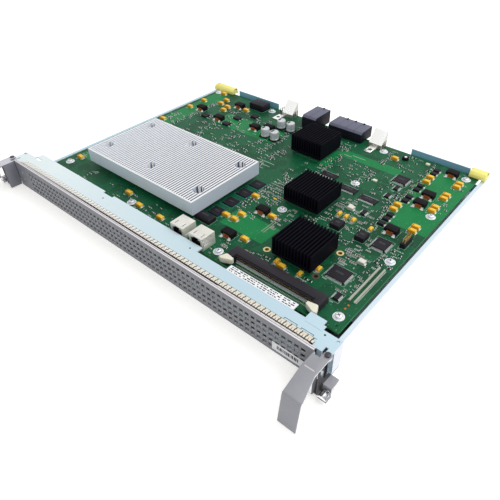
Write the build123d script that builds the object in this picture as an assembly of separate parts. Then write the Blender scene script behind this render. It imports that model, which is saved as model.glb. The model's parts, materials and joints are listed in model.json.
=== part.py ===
"""A plug-in router processor module: carrier tray, perforated faceplate, board and ejector levers.

Millimetres, +Z up. X runs along the faceplate with 0 at its middle, Y runs back from the
faceplate's front, and Z is 0 under the tray, where the module rests.
"""
import os

from build123d import *

os.makedirs("parts", exist_ok=True)

# Fits
touch_gap = 0.3
running_gap = 0.05
cut_past = 1.0

# Flat sides that stand for small round shapes which nothing turns on
few_sides = 12
hidden_sides = 8
rim_sides = 16
can_sides = 20

# Carrier tray
tray_t = 1.2
tray_left_margin = 6.5
tray_right_margin = 6.5
tray_rear_margin = 4.6
tray_wall_h = 19.0
tray_lip = 3.8
rear_tab_h = 24.8
rear_tab_from_left = 32.8
rear_tab_left_w = 69.0
rear_tab_from_right = 12.2
rear_tab_right_w = 66.0
rear_wall_h = 9.0
shelf_d = 20.0

# Faceplate
face_w = 388.4
face_h = 29.6
face_t = 1.2
lip_d = 2.6
lip_groove = 0.4
flange_d = 12.0
hole_side = 3.8
hole_pitch = 5.68
hole_rows = 4
grille_left_margin = 26.1
grille_right_margin = 6.0
grille_low_margin = 3.0
light_side = 2.2
light_from_left = 10.5
light_pitch = 8.0
light_count = 2
light_inset = 0.2
light_proud = 0.8

# Front frame
frame_gap = 1.4
frame_t = 1.1
frame_h = 24.8
frame_past_pivot = 1.4
frame_top_d = 24.3
frame_end_wall_y = 9.0
frame_end_d = 20.0
frame_corner_w = 6.9
window_w = 40.0
window_h = 15.0
window_gap = 6.0
window_margin = 8.0
rivet_r = 1.9
rivet_head = 0.8
rivet_pitch = 62.0
flange_notches = [(-66.0, 14.0, 2.6), (77.5, 33.0, 6.3), (166.5, 11.0, 7.0)]
frame_slot_w = 10.0
frame_slot_d = 3.0
frame_hole_r = 1.4
frame_hole_inset = 2.7
frame_slot_from_short = 5.3
frame_short_w = 12.0

# Shielding strip on the front frame
finger_pitch = 4.75
finger_w = 4.15
finger_d = 3.6
finger_h = 1.0
finger_front_inset = 0.2
finger_front_slope = 0.4
finger_rear_slope = 0.5
finger_margin = 4.0
strip_t = 0.25

# Circuit board
board_w = 368.0
board_d = 263.6
board_t = 2.4
board_left = -172.8
board_front = 30.2
board_top = 19.9
board_corner_r = 1.5
layout_w = 368.0
layout_d = 263.6
ring_hole_r = 2.0
corner_hole_r = 1.4
corner_hole_inset = 4.9
standoff_r = 3.4
screw_shank_r = 1.45
screw_head_r = 4.1
screw_head_h = 2.3
screw_grip = 6.0

# Main heatsink
sink_left = 35.0
sink_front = 25.7
sink_w = 158.0
sink_d = 93.6
sink_h = 14.2
sink_lift = 5.5
sink_rim = 1.6
fin_pitch = 2.5
fin_gap = 1.25
fin_depth = 8.8
sink_recess_r = 5.6
sink_screw_x = [9.6, 78.1, 147.7]
sink_screw_y = [19.4, 77.3]
sink_screw_r = 3.4
sink_screw_h = 2.2
processor_w = 33.0
processor_d = 33.0
processor_x = [46.0, 112.0]
processor_y = 46.8

# Black finned heatsinks, each with its place from the board's left and front edges
black_side = 39.4
black_base = 2.6
black_fins = 13
black_fin_t = 1.25
chip_h = 3.4
carrier_t = 1.5
carrier_margin = 1.2
chip_side = 31.0
rear_sink = (204.8, 203.5, 18.4)
middle_sink = (258.4, 121.4, 15.3)
front_sink = (299.2, 53.2, 16.8)

# Network jacks
jack_w = 16.1
jack_d = 15.6
jack_h = 12.9
jack_wall = 0.6
jack_pitch = 23.2
jack_left = 192.0
jack_front = 0.3
jack_mouth_w = 11.8
jack_mouth_h = 8.4
jack_mouth_lift = 1.6
jack_key_w = 6.2
jack_key_h = 1.6
jack_back_t = 2.5
jack_slot_w = 0.9
jack_slot_l = 5.0
jack_slot_inset = 2.2
jack_slot_spread = 4.5
jack_side_slot_z = 5.0

# Memory socket with its two latches
socket_left = 253.8
socket_w = 92.4
socket_front = 9.5
socket_d = 9.6
socket_h = 7.4
socket_slot_w = 1.4
socket_slot_d = 5.0
socket_slot_margin = 1.0
socket_slot_drop = 2.6
socket_relief_d = 1.2
socket_relief_h = 1.4
arm_w = 6.6
arm_reach = 3.0
foot_h = 2.2
foot_reach = 6.6
latch_h = 5.2
latch_w = 9.6
latch_d = 7.6
latch_pin_r = 1.1
latch_pin_h = 2.6
latch_hub_r = 2.3
latch_inset = 1.9
latch_shoulder = 1.0
latch_waist = 1.6
latch_tip_rise = 0.8
latch_tip_inner = 0.84
latch_tip_outer = 2.24

# Rear connectors and guide sockets
small_conn_left = 157.8
small_conn_w = 19.5
small_conn_d = 32.0
small_conn_h = 16.1
large_conn_left = 190.8
large_conn_w = 44.6
large_conn_d = 24.0
large_conn_h = 13.0
conn_overhang = 9.2
conn_wall = 1.8
conn_depth = 11.0
conn_web = 1.6
conn_slope = 2.5
guide_w = 16.0
guide_h = 11.0
guide_rear_h = 17.8
guide_d = 12.5
guide_bore_r = 3.6
guide_bore_d = 7.5
guide_tab_d = 14.0
guide_tab_w = 8.5
guide_tab_t = 1.0
guide_tab_hole_r = 2.2
guide_tab_overlap = 0.5
guide_top_d = 1.6
guide_shoulder_d = 3.0
guide_shoulder_h = 7.7
guide_front_h = 4.95
guide_left_x = 119.8
guide_right_x = 244.5
guide_left_tab_shift = -5.0
guide_right_tab_shift = 2.0

# Corner guides at the back of the tray
guide_block_h = 24.8
guide_block_d = 8.4
guide_block_left_w = 34.0
guide_block_right_w = 17.0
guide_block_t = 1.6
guide_hook_h = 6.0
guide_hook_edge = 1.0
guide_block_slope = 2.5

# Small parts on the board
can_r = 5.0
can_h = 10.6
can_base = 1.4
can_base_side = 10.4
can_edge = 0.6
core_w = 12.0
core_d = 8.4
core_h = 5.4
coil_w = 6.4
coil_d = 2.6
coil_h = 3.4
coil_proud = 0.4
tantalum_l = 7.3
tantalum_w = 4.3
tantalum_h = 3.1
small_l = 5.8
small_w = 3.2
small_h = 2.5
small_clear = 1.6
pair_gap = 3.05
chamfer_small = 0.5
chamfer_chip = 0.4
chamfer_thin = 0.3
quad_h = 2.0
tsop_l = 18.4
tsop_w = 8.4
tsop_h = 1.2
outline_l = 7.6
outline_w = 4.4
outline_h = 1.7
ram_l = 12.4
ram_w = 13.0
ram_h = 1.3
ram_pitch = 19.7
ram_count = 4
ram_left = 193.3
ram_front = 49.8
crystal_l = 6.3
crystal_w = 4.9
crystal_h = 3.2
header_l = 14.5
header_w = 4.7
header_h = 4.2
header_pin_side = 0.64
header_pitch = 2.0
header_pin_rows = 2
header_pins_per_row = 6
header_pin_h = 8.6
strip_l = 47.0
strip_w = 1.5
strip_h = 1.4
strip_front = 30.8
strip_from_right = [10.9, 6.4]
module_h = 4.6
large_module_l = 18.0
large_module_w = 10.0
large_module_h = 5.1
large_module_edge = 1.6
small_module_w = 11.0
small_module_l = [10.0, 9.0]
relay_l = 22.0
relay_w = 15.5
relay_h = 8.2
relay_edge = 0.6
diode_l = 6.4
diode_w = 5.0
diode_h = 2.4
transistor_l = 9.4
transistor_w = 7.2
transistor_h = 2.4

# Ejector levers, written for the right-hand end
pivot_inset = 9.0
pivot_y = 2.8
pin_r = 1.4
pin_head_r = 2.2
pin_head_h = 0.8
lug_r = 3.2
lever_t = 1.1
lever_gap = 0.5
lever_w = 11.9
lever_bend_y = -16.0
lever_reach = 37.6
grip_w = 14.7
grip_offset = 2.5
grip_lean = 4.2
grip_low = 0.9
grip_bend_r = 1.8
inner_web_d = 12.0
outer_web_front = -10.4
outer_web_rear = -0.9
outer_web_top = 1.6
outer_web_bow_y = 4.2
outer_web_bow_z = 6.0
foot_corner = 3.0
gusset_front = -27.0
gusset_rear = -12.4
gusset_point_y = -17.6
gusset_point_z = 11.0
gusset_point_w = 2.0
ear_z = 10.8
ear_w = 8.0
ear_front = -6.2
ear_rear = 3.6
ear_corner_r = 1.2

# Captive screws in the lever ears
captive_inset = 17.1
captive_z = 4.9
captive_r = 1.5
captive_neck_r = 1.2
captive_end = 3.4
knob_r = 3.9
knob_l = 6.0
knob_slot_w = 1.1
knob_slot_d = 1.2
knob_teeth = 12
knob_tooth_h = 0.5
washer_r = 3.4
washer_t = 0.7
washer_hub_r = 2.1
collar_travel = 4.0


# Lines that several pieces share
board_right = board_left + board_w
board_rear = board_front + board_d
board_low = board_top - board_t
tray_left = board_left - tray_left_margin
tray_right = board_right + tray_right_margin
tray_rear = board_rear + tray_rear_margin
tray_front = face_t + touch_gap
face_flange_top = tray_t + face_t
frame_front = lip_d + frame_gap
frame_low = face_flange_top
frame_top = frame_low + frame_h
sink_low = board_top + sink_lift
knob_back = ear_front - washer_t - 2 * touch_gap
lever_inner_x = face_w / 2 + touch_gap
lever_outer_x = lever_inner_x + lever_w
pivot_x = lever_inner_x + pivot_inset
captive_x = lever_inner_x + captive_inset
frame_half = pivot_x + frame_past_pivot
frame_corner_x = frame_half - frame_corner_w
frame_short_x = frame_corner_x - frame_short_w
frame_slot_x = frame_short_x - frame_slot_from_short
hole_columns = int((face_w - grille_left_margin - grille_right_margin) / hole_pitch + 1 / 3)
finger_count = int((face_w - 2 * finger_margin) / finger_pitch)
lever_front = -touch_gap
lever_plate_low = frame_top + lever_gap
lever_plate_top = lever_plate_low + lever_t
lever_foot_top = frame_low - touch_gap
lever_foot_low = lever_foot_top - lever_t
collar_end = ear_front + lever_t + collar_travel


def block(x0, x1, y0, y1, z0, z1):
    """A rectangular solid between two corners."""
    middle = Pos((x0 + x1) / 2, (y0 + y1) / 2, (z0 + z1) / 2)
    return middle * Box(x1 - x0, y1 - y0, z1 - z0)


def plate(points, z0, z1):
    """An outline in plan, raised from z0 to z1."""
    face = make_face(Polyline(points, close=True))
    return Pos(0, 0, z0) * extrude(face, z1 - z0, dir=(0, 0, 1))


def side_profile(points, x0, x1):
    """An outline of (Y, Z) points, extruded along X from x0 to x1."""
    face = make_face(Polyline([(x0, y, z) for y, z in points], close=True))
    return extrude(face, x1 - x0, dir=(1, 0, 0))


def front_profile(points, y0, y1):
    """An outline of (X, Z) points, extruded along Y from y0 to y1."""
    face = make_face(Polyline([(x, y0, z) for x, z in points], close=True))
    return extrude(face, y1 - y0, dir=(0, 1, 0))


def rod(x, y, z0, z1, r):
    """An upright round bar."""
    return Pos(x, y, (z0 + z1) / 2) * Cylinder(r, z1 - z0)


def prism(x, y, z0, z1, r, sides=few_sides):
    """An upright bar with flat sides, for small shapes that repeat."""
    return Pos(x, y, z0) * extrude(RegularPolygon(r, sides), z1 - z0)


def rod_y(x, z, y0, y1, r):
    """A round bar along Y."""
    return Pos(x, (y0 + y1) / 2, z) * Rot(90, 0, 0) * Cylinder(r, y1 - y0)


def prism_y(x, z, y0, y1, r, sides=few_sides):
    """A bar along Y with flat sides."""
    return Pos(x, y1, z) * Rot(90, 0, 0) * extrude(RegularPolygon(r, sides), y1 - y0)


def chamfered(x, y, length, width, height, edge, lift=0.0):
    """A moulded package on the board, with its top edges cut back."""
    z0 = board_top + lift
    body = block(x - length / 2, x + length / 2, y - width / 2, y + width / 2, z0, z0 + height)
    return chamfer(body.faces().sort_by(Axis.Z)[-1].edges(), edge)


def group(solids):
    """Several separate solids kept as one node."""
    flat = []
    for item in solids:
        flat.extend(item.solids())
    return Compound(children=flat)


def from_left(distance):
    """X of a place drawn that far in from the left edge; the layout follows the board's width."""
    return board_left + distance * board_w / layout_w


def from_right(distance):
    """X of a place drawn that far in from the board's right edge."""
    return board_right - distance * board_w / layout_w


def from_front(distance):
    """Y of a place drawn that far back from the board's front edge."""
    return board_front + distance * board_d / layout_d


def from_rear(distance):
    """Y of a place drawn that far forward of the board's rear edge."""
    return board_rear - distance * board_d / layout_d


def screw_places():
    """Places of the screws that hold the board."""
    front_row = [(from_left(10.3), 14.8), (from_left(125.2), 8.3), (from_left(241.0), 9.1)]
    front_row.append((from_right(8.3), 12.6))
    places = [(x, from_front(y)) for x, y in front_row]
    places.append((from_left(245.4), from_front(91.4)))
    places.append((from_right(8.4), from_front(89.9)))
    places.append((from_left(274.5), from_rear(89.2)))
    places.append((from_right(9.7), from_rear(94.4)))
    rear_row = [(from_left(6.1), 9.6), (from_left(102.1), 10.7), (from_left(264.9), 13.3)]
    rear_row.append((from_right(9.5), 12.3))
    places.extend((x, from_rear(y)) for x, y in rear_row)
    return places


def make_tray():
    """Folded tray: floor, side walls with a lip turned in, and a rear wall with two raised tabs."""
    floor = block(tray_left, tray_right, frame_end_wall_y, tray_rear, 0, tray_t)
    left_end = min(tray_left, -frame_half)
    right_end = max(tray_right, frame_half)
    shelf = block(left_end, right_end, frame_end_wall_y, shelf_d, 0, tray_t)
    inner = block(-face_w / 2, face_w / 2, tray_front, frame_end_wall_y, 0, tray_t)
    wall_start = shelf_d + touch_gap
    right_wall = front_profile([
        (tray_right - tray_t, 0),
        (tray_right, 0),
        (tray_right, tray_wall_h),
        (tray_right - tray_lip, tray_wall_h),
        (tray_right - tray_lip, tray_wall_h - tray_t),
        (tray_right - tray_t, tray_wall_h - tray_t),
    ], wall_start, tray_rear)
    left_wall = front_profile([
        (tray_left + tray_t, 0),
        (tray_left, 0),
        (tray_left, tray_wall_h),
        (tray_left + tray_lip, tray_wall_h),
        (tray_left + tray_lip, tray_wall_h - tray_t),
        (tray_left + tray_t, tray_wall_h - tray_t),
    ], wall_start, tray_rear)
    back = block(tray_left, tray_right, tray_rear - tray_t, tray_rear, 0, rear_wall_h)
    left_tab_x = board_left + rear_tab_from_left
    right_tab_x = board_right - rear_tab_from_right
    tabs = [
        block(left_tab_x, left_tab_x + rear_tab_left_w, tray_rear - tray_t, tray_rear,
              0, rear_tab_h),
        block(right_tab_x - rear_tab_right_w, right_tab_x, tray_rear - tray_t, tray_rear,
              0, rear_tab_h),
    ]
    return floor + [shelf, inner, right_wall, left_wall, back] + tabs


def make_faceplate():
    """Perforated front with a grooved lip along its top and a flange along its bottom."""
    half = face_w / 2
    groove_y = lip_d / 2
    profile = [
        (0, 0),
        (face_t, 0),
        (face_t, tray_t),
        (flange_d, tray_t),
        (flange_d, face_flange_top),
        (face_t, face_flange_top),
        (face_t, face_h - face_t),
        (lip_d, face_h - face_t),
        (lip_d, face_h),
        (groove_y + lip_groove, face_h),
        (groove_y + lip_groove, face_h - lip_groove),
        (groove_y, face_h - lip_groove),
        (groove_y, face_h),
        (0, face_h),
    ]
    blank = side_profile(profile, -half, half)
    grille_w = (hole_columns - 1) * hole_pitch
    grille_h = (hole_rows - 1) * hole_pitch
    middle_x = -half + grille_left_margin + hole_side / 2 + grille_w / 2
    middle_z = grille_low_margin + hole_side / 2 + grille_h / 2
    half_hole = hole_side / 2
    punches = []
    for spot in GridLocations(hole_pitch, hole_pitch, hole_columns, hole_rows):
        x = middle_x + spot.position.X
        z = middle_z + spot.position.Y
        punches.append(block(x - half_hole, x + half_hole, 0, face_t, z - half_hole,
                             z + half_hole))
    lights = []
    for index in range(light_count):
        z = face_h / 2 + (index - (light_count - 1) / 2) * light_pitch
        x = -half + light_from_left
        lights.append(block(x - light_side / 2, x + light_side / 2, 0, face_t,
                            z - light_side / 2, z + light_side / 2))
    return blank - (punches + lights)


def make_indicator_lights():
    """Two small light windows in the blank end of the faceplate."""
    lights = []
    for index in range(light_count):
        z = face_h / 2 + (index - (light_count - 1) / 2) * light_pitch
        x = -face_w / 2 + light_from_left
        lights.append(block(x - light_side / 2, x + light_side / 2, light_inset, face_t + light_proud,
                            z - light_side / 2, z + light_side / 2))
    return group(lights)


def rivet_places():
    """Places of the rivets through the frame's and the faceplate's bottom flanges."""
    count = int(face_w / rivet_pitch)
    start = -(count - 1) / 2 * rivet_pitch
    y = (frame_front + frame_t + flange_d) / 2
    return [(start + index * rivet_pitch, y) for index in range(count)]


def make_front_frame():
    """Folded frame behind the faceplate: top flange, windowed wall, bottom flange and end walls."""
    back = frame_front + frame_top_d
    half = frame_half
    wall = side_profile([
        (frame_front, frame_low),
        (flange_d, frame_low),
        (flange_d, frame_low + frame_t),
        (frame_front + frame_t, frame_low + frame_t),
        (frame_front + frame_t, frame_top - frame_t),
        (back, frame_top - frame_t),
        (back, frame_top),
        (frame_front, frame_top),
    ], -frame_corner_x, frame_corner_x)
    pieces = []
    cuts = []
    for side in (-1, 1):
        corner = side * frame_corner_x
        edge = side * half
        x0 = min(corner, edge)
        x1 = max(corner, edge)
        inner_edge = edge - side * frame_t
        top = frame_top - frame_t
        for z in (frame_low, top):
            pieces.append(block(x0, x1, frame_end_wall_y, frame_end_d, z, z + frame_t))
            tail = side * (pivot_x - lug_r)
            pieces.append(block(min(tail, edge), max(tail, edge), pivot_y, frame_end_wall_y,
                                z, z + frame_t))
            pieces.append(prism(side * pivot_x, pivot_y, z, z + frame_t, lug_r, rim_sides))
            cuts.append(rod(side * pivot_x, pivot_y, z - cut_past, z + frame_t + cut_past, pin_r))
        pieces.append(block(min(inner_edge, edge), max(inner_edge, edge), frame_end_wall_y,
                            frame_end_d, frame_low, frame_top))
        pieces.append(block(min(corner, edge), max(corner, edge), flange_d, frame_end_d,
                            frame_low, frame_low + frame_t))
        hole_x = side * (half - frame_hole_inset)
        cuts.append(prism(hole_x, frame_end_d - frame_hole_inset, top - cut_past,
                          frame_top + cut_past, frame_hole_r))
        end_x0 = min(side * frame_short_x, side * frame_corner_x)
        end_x1 = max(side * frame_short_x, side * frame_corner_x)
        cuts.append(block(end_x0, end_x1, frame_end_d, back + cut_past, top - cut_past,
                          frame_top + cut_past))
        slot_x = side * frame_slot_x
        cuts.append(block(slot_x - frame_slot_w / 2, slot_x + frame_slot_w / 2,
                          frame_end_d - frame_slot_d / 2, frame_end_d + frame_slot_d / 2,
                          top - cut_past, frame_top + cut_past))
    for middle, width, depth in flange_notches:
        cuts.append(block(middle - width / 2, middle + width / 2, back - depth, back + cut_past,
                          frame_top - frame_t - cut_past, frame_top + cut_past))
    count = int((2 * frame_corner_x - 2 * window_margin + window_gap) / (window_w + window_gap))
    middle_z = (frame_low + frame_top) / 2
    start = -(count - 1) / 2 * (window_w + window_gap)
    for index in range(count):
        x = start + index * (window_w + window_gap)
        cuts.append(block(x - window_w / 2, x + window_w / 2, frame_front - cut_past,
                          frame_front + frame_t + cut_past, middle_z - window_h / 2,
                          middle_z + window_h / 2))
    return (wall + pieces) - cuts


def make_rivets():
    """Low-headed rivets that join the front frame to the faceplate's flange."""
    low = frame_low + frame_t
    return group([prism(x, y, low, low + rivet_head, rivet_r) for x, y in rivet_places()])


def make_gasket():
    """Springy shielding strip: a row of arched fingers on one thin base."""
    y0 = frame_front + finger_front_inset
    half = finger_count * finger_pitch / 2
    base = block(-half, half, y0, y0 + finger_d, frame_top, frame_top + strip_t)
    low = frame_top + strip_t
    high = frame_top + finger_h
    arch = [
        (y0, low),
        (y0 + finger_d, low),
        (y0 + finger_d - finger_rear_slope, high),
        (y0 + finger_front_slope, high),
    ]
    fingers = []
    for index in range(finger_count):
        x = -half + (index + 0.5) * finger_pitch
        fingers.append(side_profile(arch, x - finger_w / 2, x + finger_w / 2))
    return base + fingers


def make_board():
    """The circuit board with its screw holes and ringed tooling holes."""
    outline = Rectangle(board_w, board_d)
    outline = fillet(outline.vertices(), board_corner_r)
    middle = Pos((board_left + board_right) / 2, (board_front + board_rear) / 2, board_low)
    board = middle * extrude(outline, board_t)
    places = screw_places() + heatsink_screw_places()
    holes = [
        prism(x, y, board_low, board_top, screw_shank_r, hidden_sides) for x, y in places
    ]
    rings = [
        (from_right(96.9), from_front(37.5)),
        (from_right(46.0), from_front(73.0)),
        (from_right(45.8), from_front(37.0)),
    ]
    for x, y in rings:
        holes.append(prism(x, y, board_low, board_top, ring_hole_r))
    holes.append(prism(from_right(corner_hole_inset), from_front(corner_hole_inset), board_low,
                       board_top, corner_hole_r))
    return board - holes


def make_standoffs():
    """Six-sided pillars that carry the board above the tray."""
    pillars = []
    for x, y in screw_places():
        pillar = prism(x, y, tray_t, board_low, standoff_r, 6)
        bore = prism(x, y, tray_t, board_low, screw_shank_r, hidden_sides)
        pillars.append(pillar - bore)
    return group(pillars)


def make_screw(x, y, z, head_r, head_h, shank_l):
    """A screw with its head down on z and its shank below."""
    shank = prism(x, y, z - shank_l, z, screw_shank_r, hidden_sides)
    return shank + prism(x, y, z, z + head_h, head_r)


def make_board_screws():
    """The screws that hold the board to its pillars."""
    length = board_t + screw_grip
    return group([
        make_screw(x, y, board_top, screw_head_r, screw_head_h, length)
        for x, y in screw_places()
    ])


def make_corner_guide(side):
    """Moulded guide on a rear corner of the tray, hooked over its wall."""
    if side < 0:
        x0 = tray_left
        x1 = tray_left + guide_block_left_w
    else:
        x0 = tray_right - guide_block_right_w
        x1 = tray_right
    y1 = tray_rear - tray_t
    y0 = y1 - guide_block_d
    low = board_top + touch_gap
    top = guide_block_h + guide_block_t
    return side_profile([
        (y0, low),
        (y1, low),
        (y1, guide_block_h),
        (tray_rear + guide_block_t, guide_block_h - guide_hook_h),
        (tray_rear + guide_block_t, top - guide_hook_edge),
        (tray_rear + guide_block_t - guide_hook_edge, top),
        (y0 + guide_block_slope, top),
        (y0, top - guide_block_slope),
    ], x0, x1)


def heatsink_screw_places():
    """Places of the screws through the main heatsink."""
    places = []
    for dx in sink_screw_x:
        for dy in sink_screw_y:
            places.append((from_left(sink_left) + dx, from_front(sink_front) + dy))
    return places


def make_main_heatsink():
    """Large machined heatsink: close grooves inside a plain rim, with round screw pockets."""
    x0 = from_left(sink_left)
    y0 = from_front(sink_front)
    top = sink_low + sink_h
    body = block(x0, x0 + sink_w, y0, y0 + sink_d, sink_low, top)
    count = int((sink_w - 2 * sink_rim) / fin_pitch)
    start = x0 + sink_w / 2 - (count - 1) / 2 * fin_pitch
    grooves = []
    for index in range(count):
        x = start + index * fin_pitch
        grooves.append(block(x - fin_gap / 2, x + fin_gap / 2, y0 + sink_rim,
                             y0 + sink_d - sink_rim, top - fin_depth, top + cut_past))
    pockets = []
    for x, y in heatsink_screw_places():
        pockets.append(prism(x, y, top - fin_depth, top + cut_past, sink_recess_r))
        pockets.append(prism(x, y, sink_low - cut_past, top, screw_shank_r, hidden_sides))
    return body - grooves - pockets


def make_heatsink_screws():
    """Shouldered screws that hold the main heatsink to the board."""
    seat = sink_low + sink_h - fin_depth
    return group([
        make_screw(x, y, seat, sink_screw_r, sink_screw_h, seat - board_low)
        for x, y in heatsink_screw_places()
    ])


def make_processors():
    """The packages cooled by the main heatsink."""
    chips = []
    for dx in processor_x:
        x = from_left(sink_left) + dx
        y = from_front(sink_front) + processor_y
        chips.append(block(x - processor_w / 2, x + processor_w / 2, y - processor_d / 2,
                           y + processor_d / 2, board_top, sink_low))
    return group(chips)


def make_black_heatsink(place):
    """Extruded comb heatsink with straight fins along Y."""
    left, front, height = place
    x0 = from_left(left) - black_side / 2
    y0 = from_front(front) - black_side / 2
    low = board_top + chip_h
    top = low + height
    pitch = (black_side - black_fin_t) / (black_fins - 1)
    points = [(x0, low), (x0 + black_side, low)]
    for index in reversed(range(black_fins)):
        fin_x = x0 + index * pitch
        points.append((fin_x + black_fin_t, top))
        points.append((fin_x, top))
        if index > 0:
            points.append((fin_x, low + black_base))
            points.append((fin_x - pitch + black_fin_t, low + black_base))
    return front_profile(points, y0, y0 + black_side)


def make_cooled_chips():
    """The ball-grid packages under the three black heatsinks: a thin carrier and a lid."""
    chips = []
    for left, front, _ in (rear_sink, middle_sink, front_sink):
        x = from_left(left)
        y = from_front(front)
        half = black_side / 2 - carrier_margin
        lid = chip_side / 2
        step = board_top + carrier_t
        carrier = block(x - half, x + half, y - half, y + half, board_top, step)
        cover = block(x - lid, x + lid, y - lid, y + lid, step, board_top + chip_h)
        chips.append(carrier + cover)
    return group(chips)


def jack_x(index):
    """X of a network jack's left side."""
    return from_left(jack_left) + index * jack_pitch


def make_jack(index):
    """Shielded network jack, open to the front, with its contact block at the back."""
    x0 = jack_x(index)
    x1 = x0 + jack_w
    y0 = from_front(jack_front)
    y1 = y0 + jack_d
    top = board_top + jack_h
    middle = (x0 + x1) / 2
    low = board_top + jack_mouth_lift
    body = block(x0, x1, y0, y1, board_top, top)
    mouth = block(middle - jack_mouth_w / 2, middle + jack_mouth_w / 2, y0 - cut_past,
                  y1 - jack_back_t, low, low + jack_mouth_h)
    key = block(middle - jack_key_w / 2, middle + jack_key_w / 2, y0 - cut_past,
                y1 - jack_back_t, low, low + jack_mouth_h + jack_key_h)
    slot_y = y0 + jack_slot_inset
    slots = []
    for side in (-1, 1):
        slot_x = middle + side * jack_slot_spread
        slots.append(block(slot_x - jack_slot_w / 2, slot_x + jack_slot_w / 2, slot_y,
                           slot_y + jack_slot_l, top - jack_wall, top + cut_past))
        face_x = middle + side * jack_w / 2
        slot_z = board_top + jack_side_slot_z
        slots.append(block(face_x - jack_wall, face_x + jack_wall, slot_y,
                           slot_y + jack_slot_l, slot_z, slot_z + jack_slot_w))
    return body - [mouth, key] - slots


def latch_pivot(side):
    """X and Y of a memory-socket latch's pin."""
    left = from_left(socket_left)
    if side < 0:
        x = left + latch_inset
    else:
        x = left + socket_w - latch_inset
    y = from_front(socket_front) - arm_reach - touch_gap - latch_hub_r
    return x, y


def make_memory_socket():
    """U-shaped memory socket: slotted bar, two arms and a pin in front of each arm."""
    x0 = from_left(socket_left)
    x1 = x0 + socket_w
    y0 = from_front(socket_front)
    y1 = y0 + socket_d
    top = board_top + socket_h
    arm_y = y0 - arm_reach
    foot_y = arm_y - foot_reach
    bar = block(x0, x1, y0, y1, board_top, top)
    slot_top = top - socket_slot_drop
    slot = block(x0 + arm_w + socket_slot_margin, x1 - arm_w - socket_slot_margin,
                 y0 - cut_past, y0 + socket_slot_d, slot_top - socket_slot_w, slot_top)
    relief = block(x0 + arm_w, x1 - arm_w, y0 - cut_past, y0 + socket_relief_d,
                   top - socket_relief_h, top + cut_past)
    body = bar - [slot, relief]
    for side, edge in ((-1, x0), (1, x1)):
        inner = edge - side * arm_w
        body += block(min(edge, inner), max(edge, inner), arm_y, y0, board_top, top)
        px, py = latch_pivot(side)
        body += block(px - latch_hub_r, px + latch_hub_r, foot_y, arm_y, board_top,
                      board_top + foot_h)
        body += rod(px, py, board_top + foot_h, board_top + foot_h + latch_pin_h, latch_pin_r)
    return body


def make_latch(side):
    """Moulded latch that swings outward on the pin in front of a socket arm."""
    px, py = latch_pivot(side)
    low = board_top + foot_h + touch_gap
    top = low + latch_h
    inner = px - side * (latch_w - latch_hub_r)
    outer = px + side * latch_hub_r
    tip_y = py - latch_d + latch_hub_r
    points = [
        (px, py + latch_hub_r),
        (inner, py + latch_shoulder),
        (inner, py - latch_waist),
        (outer - side * latch_tip_inner, tip_y),
        (outer + side * latch_tip_outer, tip_y + latch_tip_rise),
        (outer, py),
    ]
    latch = plate(points, low, top) + rod(px, py, low, top, latch_hub_r)
    bore = rod(px, py, low - cut_past, low + latch_pin_h, latch_pin_r + running_gap)
    return latch - bore


def make_connector(left, width, depth, height):
    """Backplane connector: a moulded shroud open to the rear, with cross webs inside."""
    x0 = from_left(left)
    x1 = x0 + width
    y1 = board_rear + conn_overhang
    y0 = y1 - depth
    top = board_top + height
    body = block(x0, x1, y0, y1, board_top, top)
    front_edge = body.faces().sort_by(Axis.Y)[0].edges().sort_by(Axis.Z)[-1]
    body = chamfer(front_edge, conn_slope)
    cavity_w = (width - 2 * conn_wall - conn_web) / 2
    cavities = []
    for index in range(2):
        cx = x0 + conn_wall + index * (cavity_w + conn_web)
        cavities.append(block(cx, cx + cavity_w, y1 - conn_depth, y1 + cut_past,
                              board_top + conn_wall, top - conn_wall))
    return body - cavities


def make_guide_socket(left, tab_shift):
    """Cast guide-pin socket with a sloped back, a bore to the rear and a screwed foot."""
    x0 = from_left(left)
    x1 = x0 + guide_w
    y1 = board_rear
    y0 = y1 - guide_d
    high = board_top + guide_rear_h
    body = side_profile([
        (y0, board_top),
        (y1, board_top),
        (y1, high),
        (y1 - guide_top_d, high),
        (y0 + guide_shoulder_d, board_top + guide_shoulder_h),
        (y0, board_top + guide_front_h),
    ], x0, x1)
    middle = (x0 + x1) / 2
    bore = rod_y(middle, board_top + guide_h / 2, y1 - guide_bore_d, y1 + cut_past,
                 guide_bore_r)
    foot_x = x0 + tab_shift
    foot = block(foot_x, foot_x + guide_tab_w, y0 - guide_tab_d, y0 + guide_tab_overlap,
                 board_top, board_top + guide_tab_t)
    hole = prism(foot_x + guide_tab_w / 2, y0 - guide_tab_d / 2, board_top,
                 board_top + guide_tab_t, guide_tab_hole_r)
    return body + foot - [bore, hole]


def can_places():
    """Places of the four electrolytic capacitors."""
    return [
        (from_left(140.3), from_rear(40.3)),
        (from_left(153.8), from_rear(39.6)),
        (from_left(138.7), from_rear(68.8)),
        (from_left(152.5), from_rear(68.9)),
    ]


def make_cans():
    """Electrolytic capacitors: a square foot and a round can."""
    cans = []
    for x, y in can_places():
        half = can_base_side / 2
        base = block(x - half, x + half, y - half, y + half, board_top, board_top + can_base)
        low = board_top + can_base
        high = board_top + can_h
        can = prism(x, y, low, high, can_r, can_sides)
        can = chamfer(can.faces().sort_by(Axis.Z)[-1].edges(), can_edge)
        cans.append(base + can)
    return group(cans)


def inductor_places():
    """Places of the power inductors."""
    right = [(23.8, 14.1), (25.8, 65.7), (25.8, 84.0)]
    places = [(from_right(dx), from_rear(dy)) for dx, dy in right]
    places.append((from_right(26.7), from_front(126.0)))
    left = [(27.4, 63.2), (61.7, 27.6), (65.3, 70.7), (117.0, 62.0), (131.0, 52.0)]
    places.extend((from_left(dx), from_rear(dy)) for dx, dy in left)
    places.append((from_left(234.0), from_front(76.8)))
    places.append((from_left(232.9), from_front(31.1)))
    return places


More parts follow.
